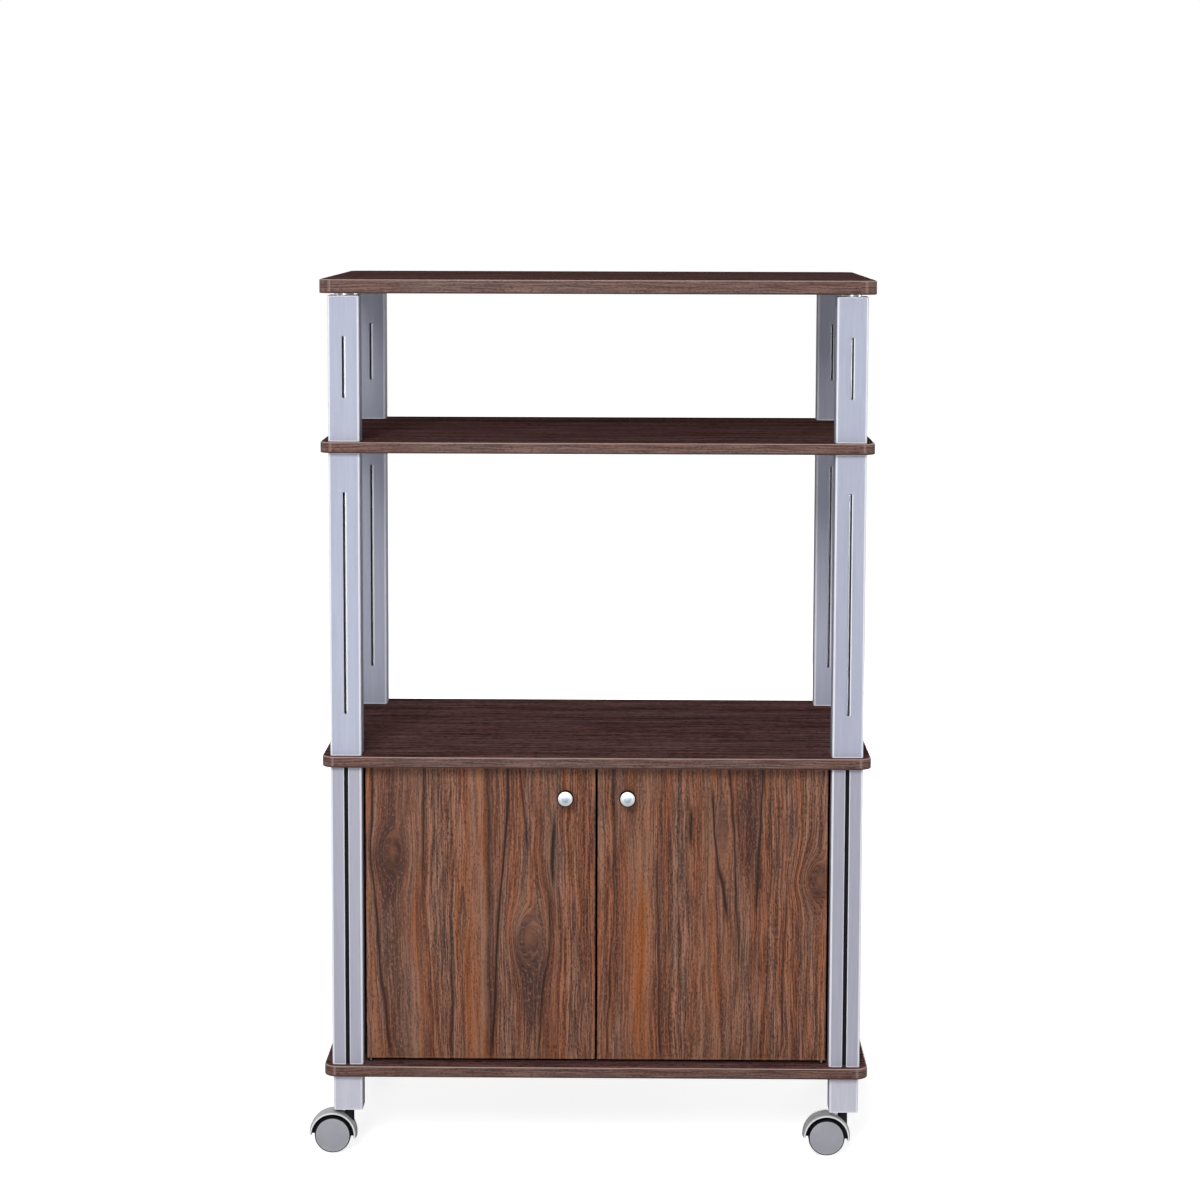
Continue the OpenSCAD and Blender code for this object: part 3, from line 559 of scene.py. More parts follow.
@shader_group("Colour", "Roughness", "Height", Vector=ZERO, Colour=BLACK, Stretch=ZERO, Roughness=0.3)
def brushed_lines(given):
    """Brushed metal: noise drawn out along the axis with the small scale varies tone and roughness."""
    lines = given["Vector"].vector("MULTIPLY", given["Stretch"]).noise(1.0, 3.0, 0.6)
    cloud = given["Vector"].noise(60.0)
    return shaded(given, cloud.about(0.5, lines - 0.5), 0.25, 0.3, lines)


# ---- Materials ----


def object_place(tree):
    """Object coordinates."""
    return add(tree, "TexCoord")["Object"]


def upright(tree):
    """Object coordinates turned so that the grain runs up: along Z, across X."""
    quarter = math.radians(90)
    return add(tree, "Mapping", {"Vector": object_place(tree), "Rotation": (quarter, 0.0, quarter)})[0]


def solid(colour):
    """A linear colour with full alpha."""
    return (*colour, 1.0)


def between(first, second, share):
    """A colour between two settings."""
    return tuple((1 - share) * a + share * b for a, b in zip(first, second))


def blank_material(name, **values):
    """A material, its tree and its Principled shader, the plain values set on the shader's own sockets."""
    made = bpy.data.materials.new(name)
    made.use_nodes = True
    tree = made.node_tree
    shader = Node(tree, tree.nodes["Principled BSDF"])
    return made, tree, shader.feed({key.replace("_", " "): value for key, value in values.items()})


def dress(shader, out, colour, edge, share, line, rough, distance, strength):
    """Links a colour with the mesh's marked edges and lines drawn over it as painted highlights and painted
    shade, a roughness, and a bump from a group's height to the shader."""
    tree = shader.tree
    marked = marked_edges(tree, Colour=colour, Share=share, Edge=solid(edge), Line=solid(line))["Colour"]
    bump = add(tree, "Bump", {"Strength": strength, "Distance": distance, "Height": out["Height"]})[0]
    shader.feed({"Base Color": marked, "Roughness": rough, "Normal": bump})


def layout(vector, low, high, stops):
    """How the figure changes across a face, from low to high: at each stop (place, zone, contrast). A zone
    is dark at 0, plain at 0.5 and warm at 1."""
    ramp = add(vector.tree, "ValToRGB", {0: vector.parts()[1].ranged(low, high, kind="LINEAR")})
    elements = ramp.made.color_ramp.elements
    for index, (place, zone, contrast) in enumerate(stops):
        element = elements[index] if index < 2 else elements.new(place)
        element.position, element.color = place, (zone, contrast, 0.0, 1.0)
    parts = add(vector.tree, "SeparateColor", {0: ramp[0]})
    return parts[0], parts[1]


def wood(name, vector_from, colours, figure, gloss, sway, edge, contrast=1.0, stops=None, knots=(), veins=(),
         patches=(), **values):
    """A walnut laminate: the figure at a wandering vector. Its colours are (vein, dark, mid, light, warm),
    knots are (middle, along, across, pull), veins are (place across, lean, low, high, width, strength),
    patches are (middle, along, across, change of zone), and edge is a colour and a share for the painted
    highlights marked on the mesh; lines marked below zero take the vein colour as painted shade."""
    made, tree, shader = blank_material(name, **values)
    vector = grain_wander(tree, Vector=vector_from(tree), Sway=sway[0], Seed=sway[1])["Vector"]
    cores = []
    zone = 0.5
    for centre, along, across, pull in knots:
        cores.append(grain_knot(tree, Vector=vector, Centre=centre, Along=along, Across=across, Pull=pull))
        vector = cores[-1]["Vector"]
    if stops:
        zone, contrast = layout(vector, *stops)
    for centre, along, across, change in patches:
        patch = soft_patch(tree, Vector=vector, Centre=centre, Along=along, Across=across)
        zone = patch["Mask"].scaled(change, zone)
    vein, dark, mid, light, warm = (solid(colour) for colour in colours)
    out = walnut_figure(tree, Vector=vector, Zone=zone, Contrast=contrast, Vein=vein, Dark=dark, Mid=mid,
                        Light=light, Warm=warm, **figure)
    colour = out["Colour"]
    for place, lean, low, high, width, strength in veins:
        line = grain_vein(tree, Vector=vector, Place=place, Lean=lean, Low=low, High=high, Width=width)
        colour = (line["Mask"] * strength).mixed(colour, vein)
    for core in cores:
        colour = (core["Core"] * 0.68).mixed(colour, dark)
        colour = (core["Eye"] * 0.40).mixed(colour, warm)
    dress(shader, out, colour, *edge, colours[0], out["Pores"].scaled(0.15, gloss), 0.00006, 0.6)
    return made


def board_face(c):
    """Dark walnut laminate on the boards, its grain along X."""
    mid = between(c.board_dark, c.board_light, 0.45)
    colours = (c.shadow, c.board_dark, mid, c.board_light, c.board_light)
    figure = dict(Heart=-0.35, Depth=0.06, Slope=0.02, Ring=0.014, Tick=0.55)
    return wood("board_walnut", object_place, colours, figure, 0.62, (0.020, 2.0), (c.band_highlight, 0.75),
                Specular_IOR_Level=0.0)


def board_band(c):
    """The glued band round the boards, lighter, with streaks along it; its UV runs along the edge."""
    mid = between(c.band_dark, c.band_light, 0.5)
    colours = (c.board_dark, c.band_dark, mid, c.band_light, c.band_light)
    figure = dict(Heart=-0.02, Depth=0.0, Slope=0.0, Ring=0.0042)
    return wood("board_band", lambda tree: add(tree, "UVMap", uv_map="UVMap")[0], colours, figure, 0.40,
                (0.012, 5.0), (c.band_highlight, 0.8), Specular_IOR_Level=0.14)


def upright_wood(c, name, **details):
    """The cabinet's walnut laminate, its grain upright."""
    colours = (c.door_vein, c.door_dark, c.door_mid, c.door_light, c.door_orange)
    return wood(name, upright, colours, gloss=0.48, edge=(c.door_light, 0.5), Specular_IOR_Level=0.10,
                **details)


# The left door has straight stripes, a broad warm band, long dark veins and two knots
LEFT_FIGURE = dict(
    figure=dict(Heart=-0.60, Depth=0.02, Slope=0.10, Ring=0.011),
    sway=(0.024, 1.0),
    stops=(-0.254, -0.001, (
        (0.0, 0.55, 0.9), (0.10, 0.50, 0.7), (0.24, 0.45, 0.6), (0.28, 0.55, 1.0), (0.42, 0.60, 1.0),
        (0.445, 0.84, 0.8), (0.52, 0.84, 0.7), (0.545, 0.30, 0.8), (0.62, 0.5, 1.0), (0.72, 0.45, 0.8),
        (0.82, 0.40, 0.7), (0.86, 0.60, 1.0), (0.97, 0.50, 1.0))),
    knots=(((0.339, -0.222, 0), 0.036, 0.019, 0.8), ((0.243, -0.0745, 0), 0.044, 0.022, 0.85)),
    veins=((-0.2385, -0.05, 0.10, 0.46, 0.0016, 0.90), (-0.1905, 0.0, 0.30, 0.46, 0.0015, 0.84),
           (-0.1205, 0.0, 0.10, 0.46, 0.0042, 0.54), (-0.107, 0.06, 0.10, 0.46, 0.0019, 1.00),
           (-0.081, -0.10, 0.33, 0.46, 0.0015, 0.84), (-0.048, 0.02, 0.29, 0.385, 0.0024, 1.00),
           (-0.060, 0.05, 0.10, 0.30, 0.0016, 0.84), (-0.160, 0.02, 0.10, 0.28, 0.0015, 0.72)),
    patches=(((0.185, -0.073, 0), 0.050, 0.016, -0.45), ((0.295, -0.0735, 0), 0.040, 0.005, 0.5),
             ((0.325, -0.225, 0), 0.045, 0.020, -0.22)),
)

# The right door has narrow arches beside its middle, warm zones low on the left, and stripes and a knot on
# the right
RIGHT_FIGURE = dict(
    figure=dict(Heart=0.160, Depth=-0.028, Slope=0.085, Ring=0.010),
    sway=(0.026, 9.0),
    stops=(0.001, 0.254, (
        (0.0, 0.60, 0.9), (0.07, 0.45, 0.9), (0.12, 0.62, 0.7), (0.24, 0.65, 0.8), (0.27, 0.35, 0.9),
        (0.36, 0.60, 1.0), (0.42, 0.45, 0.9), (0.50, 0.62, 0.7), (0.56, 0.40, 0.8), (0.66, 0.35, 0.9),
        (0.76, 0.5, 1.0), (0.86, 0.60, 1.0), (0.98, 0.62, 1.0))),
    knots=(((0.309, 0.248, 0), 0.034, 0.026, 0.85), ((0.355, 0.135, 0), 0.060, 0.010, 0.35)),
    veins=((0.105, 0.0, 0.335, 0.40, 0.0018, 1.00), (0.1335, -0.113, 0.255, 0.42, 0.0019, 1.00),
           (0.1475, -0.05, 0.20, 0.46, 0.0015, 0.84), (0.018, 0.02, 0.10, 0.46, 0.0015, 0.72),
           (0.070, -0.03, 0.10, 0.34, 0.0015, 0.78), (0.176, 0.04, 0.26, 0.46, 0.0018, 0.90),
           (0.208, 0.03, 0.10, 0.30, 0.0015, 0.72)),
    patches=(((0.235, 0.048, 0), 0.110, 0.017, 0.24), ((0.330, 0.137, 0), 0.050, 0.006, 0.42),
             ((0.375, 0.162, 0), 0.060, 0.014, -0.45), ((0.200, 0.120, 0), 0.060, 0.014, 0.14)),
)


def coated(c, name, colour, rough, grain, depth, bump, edge=None, cloud=14.0, run=(1, 1, 1), **values):
    """A coat or a moulded plastic with fine speckle, which runs along an axis where its scale there is small;
    edges marked on the mesh take the edge's colour as a painted highlight."""
    made, tree, shader = blank_material(name, **values)
    out = coat_speckle(tree, Vector=object_place(tree).stretched(run), Colour=solid(colour), Grain=grain,
                       Depth=depth, Roughness=rough, Cloud=cloud)
    dress(shader, out, out["Colour"], edge or colour, 0.85, c.shadow, out["Roughness"], bump, 0.4)
    return made


def steel(c, name, colour):
    """The silver powder coat of a kind of post; its colour per kind is lighter or darker as painted light."""
    return coated(c, name, colour, 0.50, 1600.0, 0.30, 0.00002, c.steel_highlight, 90.0, (0.35, 0.35, 0.016),
                  Metallic=0.04, Specular_IOR_Level=0.0)


def plastic(c, name, colour, depth, cloud):
    """The grey plastic of the casters, with painted highlights on their rims."""
    return coated(c, name, colour, 0.36, 1100.0, depth, 0.00003, c.caster_highlight, cloud,
                  Specular_IOR_Level=0.35)


def metal(c, name, colour, rough, stretch, edge=None):
    """A bare or plated metal with fine lines; edges marked on the mesh take the edge's colour as a painted
    highlight, and marks below zero the line's colour as painted shade.
    """
    made, tree, shader = blank_material(name, Metallic=1.0)
    out = brushed_lines(
        tree, Vector=object_place(tree), Colour=solid(colour), Stretch=stretch, Roughness=rough)
    dress(shader, out, out["Colour"], edge or colour, 1.0, c.shadow, out["Roughness"], 0.00002, 0.4)
    return made


MAKERS = {
    "board_face": board_face,
    "board_band": board_band,
    "door_left": lambda c: upright_wood(c, "door_walnut_left", **LEFT_FIGURE),
    "door_right": lambda c: upright_wood(c, "door_walnut_right", **RIGHT_FIGURE),
    "panel": lambda c: upright_wood(
        c, "panel_walnut", figure=dict(Depth=0.08, Slope=0.1, Ring=0.009), sway=(0.03, 4.0), contrast=0.8),
    "steel": lambda c: steel(c, "post_coat", c.steel),
    # The cabinet posts' coat is darkened as painted shade and the feet's lightened as painted light
    "steel_cabinet_shaded": lambda c: steel(c, "cabinet_post_coat_shaded", c.steel_cabinet_shaded),
    "steel_foot_lit": lambda c: steel(c, "foot_coat_lit", c.steel_foot_lit),
    "knob": lambda c: metal(c, "knob_satin", c.knob, 0.44, (700, 30, 700), c.knob_highlight),
    "zinc": lambda c: metal(c, "zinc_plate", c.zinc, 0.34, (260, 260, 900)),
    "caster": lambda c: plastic(c, "caster_plastic", c.caster, 0.34, 48.0),
    "hood": lambda c: plastic(c, "hood_plastic", c.hood, 0.10, 14.0),
    "black": lambda c: coated(
        c, "black_plastic", (0.011, 0.011, 0.014), 0.55, 900.0, 0.25, 0.00004, Specular_IOR_Level=0.12),
    "magnet": lambda c: coated(
        c, "magnet_ferrite", (0.05, 0.05, 0.055), 0.55, 700.0, 0.3, 0.00005, Metallic=0.3),
}


@functools.cache
def material(name):
    """The material of that name, built when it is first asked for."""
    return MAKERS[name](bpy.context.scene.cart_colours)


# The nodes that keep their frame shape, by their material
PLAIN_NODES = {
    "panel": ("side_panel_left", "side_panel_right", "back_panel"),
    "zinc": ("tie_rods", "flange_nuts", "top_inserts", "catch_screws", "caster_stems",
             *(f"caster_axle_{corner}" for corner in CORNERS),
             *(kind + side for kind in ("hinge_plates_", "strike_plate_", "door_screws_") for side in SIDES)),
    "black": ("post_plugs", "cabinet_post_plugs", "pivot_bushes", "catch_housing", "foot_sockets"),
    "magnet": ("catch_magnets",),
}


# ---- The pieces, one operator each ----


class CartOperator:
    """What the cart's operators share."""

    bl_options = {"REGISTER", "UNDO"}


class CART_OT_boards(CartOperator, bpy.types.Operator):
    """Builds the four boards with round corners, soft arrises and a glued edge band"""

    bl_idname = "cart.boards"
    bl_label = "Boards"

    def execute(self, context):
        """A board is a profile carried along a rounded rectangle: the underside, a quarter round, the edge, a
        quarter round and the top, closed with a flat cap on both sides."""
        shapes = context.scene.cart_shapes
        arris = shapes.board_arris
        rim, highlight_peak, highlight_slant, highlight_width = arris + 0.0006, 0.55, 0.26, 0.10
        for node in BOARDS:
            low, high, centre, half = extents(node)
            point, normal = round_rectangle(half[0], half[1], shapes.board_corner, 14, 0.002)
            lower, upper = quarter_rounds(low, high, arris, 5)
            edge = [(0.0, low + 2 * arris), (0.0, high - 2 * arris)]
            profile = np.concatenate([[(rim, low)], lower, edge, upper, [(rim, high)]])
            band = np.ones(len(profile) - 1, int)
            band[[0, -1]] = 0
            # The lower arris gets a dark line of painted shade, and the upper arris a pale line of painted
            # highlight
            mark = np.zeros(len(profile))
            mark[2:len(lower) + 1] = -1.0
            mark[len(lower) + 4:-2] = 1.0
            # A painted highlight line runs down the band where each round corner leaves the flat side
            slant = np.abs(normal).min(1)
            painted_highlight = highlight_peak * np.exp(-((slant - highlight_slant) / highlight_width) ** 2)[:, None]
            surface = carried(point, normal, profile, centre)
            uv = points(run_along(point)[:, None], run_along(profile))
            shell = Shell()
            shell.grid(surface, band, uv, np.where(mark == 0, painted_highlight, mark))
            shell.caps(surface)
            shell.build(node, "_laminate", ["board_face", "board_band"], "walnut_board")
        return {"FINISHED"}


# The painted highlight line at a post's ends is even up to the first distance and fades out at the second
END_HIGHLIGHT = np.array([0.0008, 0.0016])


def slotted_tube(node, slot, shapes):
    """A square tube with a round-ended slot in its front. Both ends of the outline meet on the front's
    middle line and draw apart by half the slot's width: zero past the slot, a circle's chord in its round
    ends, and even between them. The cut edges dip in a little."""
    low, high, centre, half = extents(node)
    radius, burr = shapes.slot_width / 2, shapes.post_burr
    middle, reach = (low + high) / 2 + shapes.slot_rise, slot / 2 - radius
    turn = np.radians(np.linspace(90.0, 0.0, 9))
    rise, chord = reach + radius * np.sin(turn), radius * np.cos(turn)
    foot = np.concatenate([(0.0, 0.3 * burr, burr), END_HIGHLIGHT])
    flat = np.zeros(len(foot))
    height = np.concatenate([low + foot, middle - rise, (middle + rise)[::-1], (high - foot)[::-1]])
    gap = np.concatenate([flat, chord, chord[::-1], flat])
    inset = np.concatenate([[burr, 0.3 * burr], np.zeros(len(height) - 4), [0.3 * burr, burr]])
    point, normal = round_rectangle(half[0], half[0], shapes.post_corner, 6, 0.0004)
    face = np.tile((0.0, -1.0), (3, 1))
    point = np.concatenate([half[0] * face, point[:-1], half[0] * face])
    normal = np.concatenate([face, normal[:-1], face])
    outer, inner = (carried(point, normal, points(depth, height)) for depth in (inset, shapes.post_wall))
    dip = np.clip(gap / radius * 2.0, 0.0, 1.0)
    for step, (beside, sink) in enumerate(((0.0, 0.0004), (0.0007, 0.0001), (0.0014, 0.0))):
        for column, sign in ((step, 1.0), (-1 - step, -1.0)):
            outer[column, :, 0] = inner[column, :, 0] = sign * (gap + beside * dip)
            outer[column, :, 1] += sink * dip
    outer[..., :2] += centre[:2]
    inner[..., :2] += centre[:2]
    rows = np.zeros(len(height))
    rows[[0, 1, 2, 3, -4, -3, -2, -1]] = 1.0
    mark = np.maximum(corner_highlight(normal), rows)
    # Painted highlight along the slot's right edge
    mark[[0, 1]] = np.maximum(rows, dip)
    # The tube's inside and the slot's cut walls take the black material: painted shade seen through the slot
    painted_shade_inside = np.repeat((0, 1), len(height))
    shell = Shell()
    shell.grid(np.concatenate([outer, inner[:, ::-1], outer[:, :1]], 1), painted_shade_inside,
               mark=np.concatenate([mark, 0 * mark, mark[:, :1]], 1))
    slit = slice(len(foot), -len(foot))
    for column in (0, -1):
        shell.grid(np.stack([outer[column, slit], inner[column, slit]], 1), 1)
    return shell


class CART_OT_upper_posts(CartOperator, bpy.types.Operator):
    """Builds the eight posts of the two upper storeys, with a stamped slot in the front of each"""

    bl_idname = "cart.upper_posts"
    bl_label = "Upper posts"

    def execute(self, context):
        """Each post is a slotted square tube between the boards that it carries."""
        shapes = context.scene.cart_shapes
        for storey, slot in (("short", shapes.short_slot), ("middle", shapes.middle_slot)):
            for corner in CORNERS:
                node = f"{storey}_post_{corner}"
                shell = slotted_tube(node, slot, shapes)
                shell.build(node, "_tube", ["steel", "black"], "powder_coat")
        return {"FINISHED"}


class CART_OT_cabinet_posts(CartOperator, bpy.types.Operator):
    """Builds the four cabinet posts, with a panel groove folded into front and back"""

    bl_idname = "cart.cabinet_posts"
    bl_label = "Cabinet posts"

    def execute(self, context):
        """The outline turns out at each corner and at the lips of a groove, and in at the groove's floor. A
        sheet of even thickness follows it: the outside from bottom to top with rounded ends, then the inside,
        one wall further in, back to the bottom."""
        shapes = context.scene.cart_shapes
        r, wall = shapes.post_corner, shapes.post_wall
        lip, bend, g, d = shapes.groove_lip, shapes.groove_bend, shapes.groove_width / 2, shapes.groove_depth
        for corner in CORNERS:
            node = f"cabinet_post_{corner}"
            low, high, centre, half = extents(node)
            h = half[0]
            half_turn = [
                (h - r, h - r, r, 0, 90), (g + lip, h - lip, lip, 90, 180),
                (g - bend, h - d + bend, -bend, 180, 90), (-g + bend, h - d + bend, -bend, 90, 0),
                (-g - lip, h - lip, lip, 0, 90), (-h + r, h - r, r, 90, 180)]
            bends = half_turn + [(-x, -y, radius, a + 180, b + 180) for x, y, radius, a, b in half_turn]
            point, normal = outline(bends, 6, 0.0002)
            foot, head = quarter_rounds(low, high, shapes.post_burr, 3)
            levels = [*(low + END_HIGHLIGHT), *(high - END_HIGHLIGHT[::-1])]
            profile = np.concatenate([
                foot, [(0.0, level) for level in levels], head, [(wall, high), (wall, low)], foot[:1]])
            ends = np.array([1, 1, 1, 1, 0, 0, 1, 1, 1, 1, 0, 0, 1], float)
            # The groove is coloured black from just below its lips: painted shade in its depth
            inside = (np.abs(point[:, 0]) < g + 1e-6) & (np.abs(point[:, 1]) < h - lip - 1e-4)
            groove_shade = (inside[:-1] & inside[1:]).astype(int)[:, None]
            shell = Shell()
            mark = np.maximum(corner_highlight(normal), ends)
            shell.grid(carried(point, normal, profile, centre), groove_shade, mark=mark)
            shell.build(node, "_tube", ["steel_cabinet_shaded", "black"], "powder_coat")
        return {"FINISHED"}


class CART_OT_feet(CartOperator, bpy.types.Operator):
    """Builds the four short square feet under the base board"""

    bl_idname = "cart.feet"
    bl_label = "Feet"

    def execute(self, context):
        """A foot is a profile carried along a rounded square: the ceiling inside, the wall down, round the
        lower rim, up the outside and in over the top."""
        shapes = context.scene.cart_shapes
        wall, margin = shapes.foot_wall, 0.0008
        near, past = END_HIGHLIGHT
        for corner in CORNERS:
            node = f"foot_{corner}"
            low, high, centre, half = extents(node)
            path = [(wall, high - 2 * wall), (wall, low), (0.0, low), (0.0, high), (margin, high)]
            profile = softened(path, (0.0003, 0.0006, 0.0003), 3)
            line = [(0.0, low + near), (0.0, low + past)]
            profile = np.concatenate([profile[:-7], line, profile[-7:]])
            point, normal = round_rectangle(half[0], half[1], shapes.post_corner, 6, 0.0004)
            surface = carried(point, normal, profile, centre)
            # A painted highlight along the foot's lower rim, fading upwards, and on its rounded corners
            fading = np.clip((low + past - profile[:, 1]) / (past - near), 0, 1)
            lower = np.where(profile[:, 0] < 1e-9, fading, 0.0)
            shell = Shell()
            shell.grid(surface, mark=np.maximum(0.7 * corner_highlight(normal), lower))
            shell.caps(surface)
            shell.build(node, "_cup", ["steel_foot_lit"], "powder_coat")
        return {"FINISHED"}


class CART_OT_doors(CartOperator, bpy.types.Operator):
    """Builds the two doors, with a strip of banding glued round their edges"""

    bl_idname = "cart.doors"
    bl_label = "Doors"

    def execute(self, context):
        """A door is a profile carried round a rectangle with mitred corners: the back's margin, a small
        round, the edge, a small round and the front's margin, closed with flat faces. The outline's normal
        at a corner is the diagonal, which keeps an inset mitred."""
        shapes = context.scene.cart_shapes
        normal = np.array([(1, -1), (1, 1), (-1, 1), (-1, -1), (1, -1)], float)
        rings = shapes.door_banding + np.array([0.0010, 0.0005, 0.0])
        for side in SIDES:
            node = f"door_{side}"
            centre, half = extents(node)[2:]
            front = points(rings, -half[1])
            back = front[::-1] * (1.0, -1.0)
            around = softened([front[-1], (0.0, -half[1]), (0.0, half[1]), back[0]], shapes.door_arris)
            profile = np.concatenate([front[:-1], around, back[1:]])
            mark = np.zeros(len(profile))
            mark[[1, -2]] = 1.0
            surface = carried(normal * half[[0, 2]], normal, profile)[..., [0, 2, 1]] + centre
            shell = Shell()
            shell.grid(surface, mark=mark)
            shell.caps(surface)
            shell.build(node, "_laminate", [node], "walnut_door", f"door_{side}_leaf")
        return {"FINISHED"}


class CART_OT_knobs(CartOperator, bpy.types.Operator):
    """Builds the two turned knobs on the doors"""

    bl_idname = "cart.knobs"
    bl_label = "Knobs"

    def execute(self, context):
        """A knob is a turned profile: a foot on the door, a waisted neck and a domed head."""
        foot, neck, dome = 0.0050, 0.0037, 0.0040
        for side in SIDES:
            node = f"knob_{side}"
            centre, half = extents(node)[2:]
            head, shoulder = half[0], 2 * half[1] - dome
            lower = softened([(0.0, 0.0), (foot, 0.0), (foot, 0.0018), (neck, 0.0042), (neck, 0.0100),
                              (head, 0.0142), (head, shoulder)], (0.0004, 0.0007, 0.0012, 0.0028, 0.0012))
            turn = np.radians(np.linspace(0.0, 90.0, 20))
            upper = points(head * np.cos(turn), shoulder + dome * np.sin(turn))
            profile = np.concatenate([lower[:-1], upper])
            # A painted highlight ring between a softer middle and a rim of painted shade: where each starts,
            # and how it comes on. The neck and foot behind the head are painted dark as shade too
            rings = ((0.25, 0.42), (0.85, 0.03))
            outward = profile[:, 0] / head
            bright, dark = (np.clip((outward - start) / run, 0.0, 1.0) for start, run in rings)
            mark = np.where(profile[:, 1] > 0.0130, bright - 2.0 * dark, -1.0)
            shell = Shell()
            back = (centre[0], centre[1] + half[1], centre[2])
            shell.grid(turned(profile * (1.0, -1.0), 48, back), mark=mark)
            shell.build(node, "_turned", ["knob"], "satin_nickel", f"door_{side}_leaf")
        return {"FINISHED"}


# Radius of the hole for the caster's axle, in the wheels and in the hood
AXLE_BORE = 0.00205


class CART_OT_wheels(CartOperator, bpy.types.Operator):
    """Builds the eight caster wheels"""

    bl_idname = "cart.wheels"
    bl_label = "Wheels"

    def execute(self, context):
        """A wheel is a turned profile: a slightly domed face, a rounded tread, and the tread ring, web and
        hub of its open side."""
        shapes = context.scene.cart_shapes
        ring, web, hub, rounding = 0.0028, 0.0018, 0.0060, 0.0024
        spread = np.linspace(0.0, 1.0, 9)
        for corner in CORNERS:
            for place, outward in (("outer", -1.0), ("inner", 1.0)):
                node = f"wheel_{corner}_{place}"
                centre, half = extents(node)[2:]
                width, radius = 2 * half[1], half[0]
                floor, inner = width - web, radius - ring
                face = points(spread * (radius - rounding), width - shapes.wheel_dome * spread**2)
                rest = softened([face[-1], (radius, width - shapes.wheel_dome - 0.0002), (radius, 0.0),
                                 (inner, 0.0), (inner, floor), (hub, floor), (hub, 0.0), (AXLE_BORE, 0.0),
                                 (AXLE_BORE, floor), (0.0, floor)],
                                (0.0014, 0.0007, 0.0003, 0.0005, 0.0005, 0.0003, 0.0002, 0.0001))
                profile = np.concatenate([face[:-1], rest])
                # A painted highlight along the lip of the wheel's face
                lip = radius - shapes.wheel_lip
                to_lip = (profile[:, 0] - lip) ** 2 + (profile[:, 1] - width) ** 2
                mark = 0.5 * np.exp(-to_lip / 0.0010**2)
                # Beyond the lip the tread takes the black material, a painted shade outline round the wheel
                tread = (profile[1:, 0] > lip) & (profile[:-1, 0] > lip - 0.0006)
                facing = outward if "front" in corner else -outward
                profile[:, 1] = facing * (profile[:, 1] - half[1])
                shell = Shell()
                shell.grid(turned(profile, 72, centre), tread.astype(int), mark=mark)
                shell.build(node, "_moulded", ["caster", "black"], "caster_plastic", node)
        return {"FINISHED"}


class CART_OT_hoods(CartOperator, bpy.types.Operator):
    """Builds the four caster hoods with their web, eye and boss"""

    bl_idname = "cart.hoods"
    bl_label = "Caster hoods"

    def execute(self, context):
        """A hood is a closed profile of (depth, radius) swept about the axle: over the crown, round a rim,
        along the well, down the web and the same on the other side. It stops at the rim plane, which the
        circle of each radius meets at tilt + arcsine(drop * cosine(tilt) / radius) below the level."""
        shapes = context.scene.cart_shapes
        drop, dip, well, wall, crown, deep = 0.00165, 0.0033, 0.0234, 0.0016, shapes.hood_crown, 0.013
        web, hub, eye_radius, boss, boss_foot = 0.004, 0.0045, 0.006, 0.0053, 0.0245
        rim = well + wall
        tilt = math.asin(dip / (2 * rim))
        arc = (deep**2 + crown**2) / (2 * crown)
        y = np.linspace(0.0, deep, 9)
        top = points(y, rim + crown - (arc - np.sqrt(arc**2 - y**2)))
        side = softened(np.concatenate([top[[0, -1]], [(deep, well), (web, well), (web, hub), (0.0, hub)]]),
                        (shapes.hood_round, shapes.hood_round, 0.0012, 0.0002))
        side = np.concatenate([top[:-2], side[2:]])
        profile = np.concatenate([side, side[::-1] * (-1.0, 1.0)])
        # A painted highlight along each rim, and black in the well below as painted shade
        to_rim = (np.abs(profile[:, 0]) - deep) ** 2 + (profile[:, 1] - rim + 0.0003) ** 2
        mark = np.exp(-to_rim / 0.0011**2)
        inside = profile[:, 1] < well + 0.0003
        below = np.arcsin(drop * math.cos(tilt) / profile[:, 1])
        share = np.linspace(0.0, 1.0, 49)[:, None]
        angle = (tilt - below) + share * (math.pi + 2 * below)
        eye = softened([(AXLE_BORE, 0.0), (AXLE_BORE, web), (eye_radius, web), (eye_radius, 0.0)], 0.0003, 3)
        eye = np.concatenate([eye, eye[::-1] * (1.0, -1.0)])
        for corner in CORNERS:
            node = f"caster_hood_{corner}"
            high = extents(node)[1]
            axle = extents(f"caster_axle_{corner}")[2]
            stem = extents(f"foot_{corner}")[2]
            trail = axle[0] - stem[0]
            sign = math.copysign(1.0, trail)
            x, z = sign * profile[:, 1] * np.cos(angle), profile[:, 1] * np.sin(angle)
            surface = points(x, profile[:, 0], z) + axle
            shell = Shell()
            shell.grid(surface, (inside[:-1] & inside[1:]).astype(int), mark=mark)
            shell.caps(surface.swapaxes(0, 1))
            shell.grid(turned(eye, 40, axle))
            # The boss stands in the hood's wall, so its foot follows the hood; it takes the black material as
            # painted shade under the foot
            around = np.linspace(0.0, 2 * np.pi, 41)[:, None]
            radius = np.array([0.0, 0.5, 1.0, 1.0, 0.97, 0.90, 0.0]) * boss
            x, across = radius * np.cos(around), radius * np.sin(around)
            height = np.broadcast_to(np.array([0, 0, 0, -0.0005, -0.00015, 0.0, 0.0]) + high, x.shape).copy()
            height[:, :3] = axle[2] + np.sqrt(boss_foot**2 - (np.abs(trail) - sign * x[:, :3]) ** 2)
            shell.grid(points(stem[0] + x, stem[1] + across, height), 1)
            shell.build(node, "_moulded", ["hood", "black"], "caster_plastic", f"caster_{corner}")
        return {"FINISHED"}


